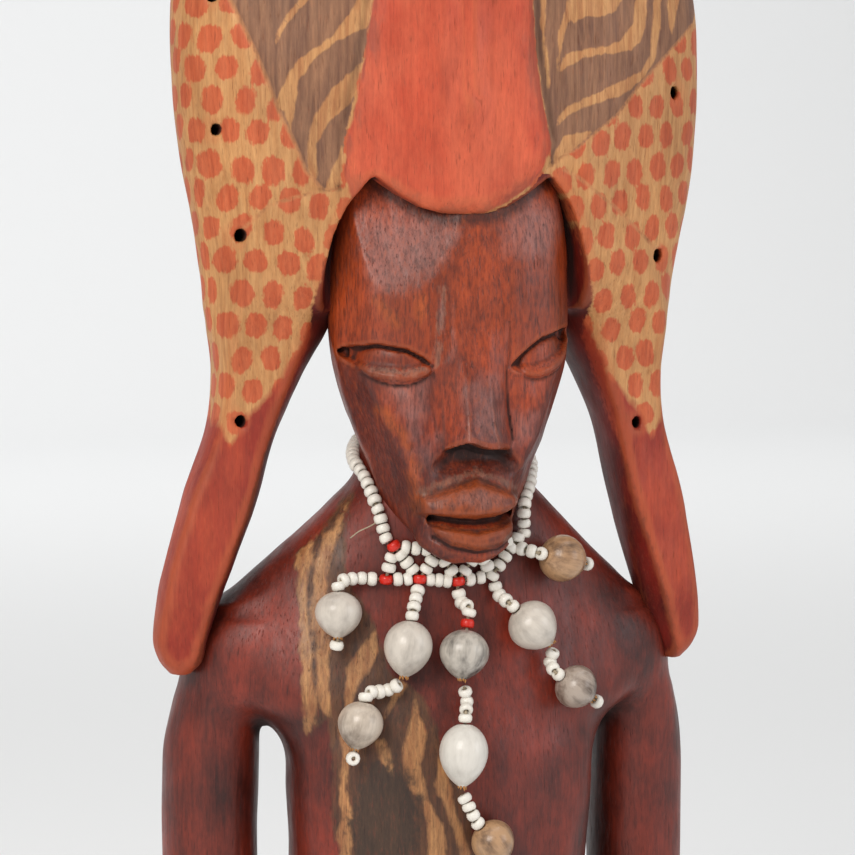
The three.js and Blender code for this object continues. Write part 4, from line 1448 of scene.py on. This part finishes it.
def headdressFinish():
    # hardwood with thin painted panels over bare wood: the grain shows through every colour
    material, tree, shader = newFinish("painted_and_waxed_hardwood", IOR=1.5, Specular_IOR_Level=0.38)
    fibre = noise(tree, (0.9, 0.9, 0.07), 5, 0.65, 0.5)
    bare = blendColours(tree, between(tree, fibre, 0.35, 0.65), "#a56c40", "#c8935e")
    dark = blendColours(tree, between(tree, fibre, 0.35, 0.65), "#6e4936", "#94694c")
    spotRed = blendColours(tree, between(tree, fibre, 0.35, 0.65), "#b04c26", "#c4623a")
    ground = blendColours(tree, between(tree, fibre, 0.35, 0.65), "#b27a48", "#ca955f")
    colour = blendColours(tree, brushed(tree, "spots", 0.16, 0.28), ground, spotRed)
    wash = noise(tree, (0.12, 0.12, 0.06), 4, 0.6)
    lobe = blendColours(tree, between(tree, wash, 0.36, 0.64), "#8a2514", "#a83f24")
    colour = blendColours(tree, brushed(tree, "lobe", 1.0, 0.9, (0.3, 0.3, 0.25)), colour, lobe)
    stripes = blendColours(tree, brushed(tree, "flames", 0.16, 0.3, (0.5, 0.5, 0.3)), dark, bare)
    colour = blendColours(tree, brushed(tree, "striped", 0.14, 0.25), colour, stripes)
    band = blendColours(tree, between(tree, wash, 0.36, 0.64), "#b8452a", "#cc5c3d")
    wander = between(tree, noise(tree, (0.35, 0.35, 0.12), 4), 0.35, 0.65, -1.8, 1.8)
    rim = between(tree, maths(tree, "ADD", stored(tree, "band"), wander), 1.8, 0.4)
    band = blendColours(tree, maths(tree, "MULTIPLY", rim, 0.55), band, "#8c4230")
    colour = blendColours(tree, brushed(tree, "band", 0.2, 0.22, (0.5, 0.5, 0.3)), colour, band)
    line = between(tree, stored(tree, "scored"), 0.55, 0.15)
    colour = blendColours(tree, maths(tree, "MULTIPLY", line, 0.7), colour, "#c08252")
    wander = between(tree, noise(tree, (0.3, 0.3, 0.2), 3), 0.3, 0.7, -1.4, 1.4)
    back = between(tree, maths(tree, "ADD", stored(tree, "depth"), wander), -1.5, 0.5)
    maroon = blendColours(tree, between(tree, wash, 0.36, 0.64), "#5e1c14", "#82301e")
    colour = blendColours(tree, back, colour, maroon)
    crimson = blendColours(tree, between(tree, wash, 0.36, 0.64), "#480e0c", "#78190f")
    colour = blendColours(tree, brushed(tree, "bevel", 0.3, 0.35), colour, crimson)
    look = {
        "grain": 0.13, "stain": 0.14, "pores": 0.4, "specks": 0.2, "scrub": 0.2, "poreColour": "#5a2c1a",
        "hollow": 0.9, "cutStainAndShadeColour": "#220d0a", "worn": 0.25, "wornColour": "#c06a3e",
        "rough": (0.45, 0.64), "bump": 0.12,
    }
    carvedFinish(colour, tree, shader, look)
    return material


def bodyFinish():
    # the same stained hardwood, darker, with a bare and burnt panel painted down the chest
    material, tree, shader = newFinish("dark_red_stained_hardwood", IOR=1.5, Specular_IOR_Level=0.45)
    patches = noise(tree, (0.06, 0.06, 0.04), 5, 0.62)
    colour = blendColours(tree, between(tree, patches, 0.36, 0.66), "#45160f", "#8c2f1c")
    fibre = noise(tree, (0.8, 0.8, 0.06), 5, 0.65, 0.6)
    dark = blendColours(tree, between(tree, fibre, 0.35, 0.65), "#4b2c1c", "#6b4429")
    bare = blendColours(tree, between(tree, fibre, 0.35, 0.65), "#98623a", "#c48e5a")
    flames = blendColours(tree, brushed(tree, "flames", 0.3, 0.4, (0.45, 0.45, 0.25)), dark, bare)
    blot = brushed(tree, "blot", 0.8, 1.6, (0.7, 0.7, 0.5))
    flames = blendColours(tree, maths(tree, "MULTIPLY", blot, 0.85), flames, "#3a2a1e")
    colour = blendColours(tree, brushed(tree, "chest", 0.4, 0.6, (0.45, 0.45, 0.25)), colour, flames)
    # painted shade in the gap between the arms and the torso
    colour = blendColours(tree, maths(tree, "MULTIPLY", stored(tree, "slot"), 0.6), colour, "#230d0b")
    look = {
        "grain": 0.16, "stain": 0.32, "pores": 0.5, "specks": 0.35, "scrub": 0.45, "poreColour": "#260d0a",
        "hollow": 0.85, "cutStainAndShadeColour": "#1a0a08", "worn": 0.35, "wornColour": "#8a3320",
        "rough": (0.34, 0.54), "bump": 0.14,
    }
    carvedFinish(colour, tree, shader, look)
    return material


def glassFinish(name, colour, dirt):
    # opaque pressed glass: bright, a little glossy, with patches of grime
    material, tree, shader = newFinish(name, IOR=1.5, Subsurface_Weight=0.0)
    grime = between(tree, noise(tree, (0.5, 0.5, 0.5), 4, 0.6), 0.45, 0.75)
    mixed = blendColours(tree, maths(tree, "MULTIPLY", grime, 0.35), colour, dirt)
    tree.links.new(mixed, shader.inputs["Base Color"])
    tree.links.new(between(tree, grime, 0, 1, 0.28, 0.5), shader.inputs["Roughness"])
    grain = noise(tree, (1.2, 1.2, 1.2), 2)
    bump = addNode(tree, "Bump", {"Height": grain, "Strength": 0.4, "Distance": 0.1 * mm})
    tree.links.new(bump.outputs[0], shader.inputs["Normal"])
    return material


def threadFinish():
    # twisted cotton
    material, tree, shader = newFinish("twisted_cotton_thread", Roughness=0.85, IOR=1.5)
    twist = noise(tree, (3, 3, 3), 2)
    tree.links.new(blendColours(tree, twist, "#b9ab94", "#8d7d66"), shader.inputs["Base Color"])
    return material


def fibreFinish():
    # the torn husk at the tip of a seed
    material, tree, shader = newFinish("dry_seed_husk", Roughness=0.8, IOR=1.5)
    streak = noise(tree, (2.5, 2.5, 1), 3)
    tree.links.new(blendColours(tree, streak, "#8a5428", "#c08a4c"), shader.inputs["Base Color"])
    return material


def seedFinish(name, pale, dark, amount):
    # the hard, shiny husk of a grass seed: grey enamel with smoky streaks from end to end
    material, tree, shader = newFinish(
        "polished_grass_seed_" + name, IOR=1.5, Coat_Weight=0.25, Coat_Roughness=0.12
    )
    place = addNode(tree, "Attribute", attribute_name="onSeed").outputs["Vector"]
    stretched = addNode(tree, "Mapping", {"Vector": place, "Scale": (0.9, 0.9, 0.12)}).outputs[0]
    lines = {"Vector": stretched, "Scale": 1.0, "Detail": 5.0, "Roughness": 0.65}
    streaks = addNode(tree, "TexNoise", lines).outputs["Fac"]
    broad = addNode(tree, "Mapping", {"Vector": place, "Scale": (0.25, 0.25, 0.2)}).outputs[0]
    clouds = addNode(tree, "TexNoise", {"Vector": broad, "Scale": 1.0, "Detail": 3.0}).outputs["Fac"]
    high = addNode(tree, "SeparateXYZ", {0: place}).outputs[2]
    nearTip = between(tree, high, 4.0, 0.4)
    fine, broad = between(tree, streaks, 0.4, 0.72, 0, 0.75), between(tree, clouds, 0.42, 0.7, -0.2, 0.75)
    share = maths(tree, "ADD", fine, broad)
    share = maths(tree, "ADD", share, maths(tree, "MULTIPLY", nearTip, 0.5))
    share = maths(tree, "MULTIPLY", share, amount)
    colour = blendColours(tree, addNode(tree, "Clamp", {0: share}).outputs[0], pale, dark)
    tree.links.new(colour, shader.inputs["Base Color"])
    tree.links.new(between(tree, streaks, 0.3, 0.7, 0.28, 0.42), shader.inputs["Roughness"])
    bump = addNode(tree, "Bump", {"Height": streaks, "Strength": 0.35, "Distance": 0.12 * mm})
    tree.links.new(bump.outputs[0], shader.inputs["Normal"])
    return material


carvedHead.data.materials.append(headFinish())
carvedHeaddress.data.materials.append(headdressFinish())
carvedBody.data.materials.append(bodyFinish())
thread = threadFinish()
beadFinishes = {
    "white": glassFinish("opaque_white_glass", "#e6e1d7", "#c9bfae"),
    "red": glassFinish("opaque_red_glass", "#cf2414", "#8d1a10"),
}
husk = fibreFinish()
for piece in (neck, netWhite):
    piece.data.materials.append(beadFinishes["white"])
    piece.data.materials.append(thread)
netRed.data.materials.append(beadFinishes["red"])
seedMaterials = {name: seedFinish(name, *look) for name, look in seedFinishes.items()}
for piece, finish in dropPieces:
    if finish in beadFinishes:
        piece.data.materials.append(beadFinishes[finish])
        piece.data.materials.append(thread)
    else:
        piece.data.materials.append(seedMaterials[finish])
        piece.data.materials.append(husk)
print("finishes made")
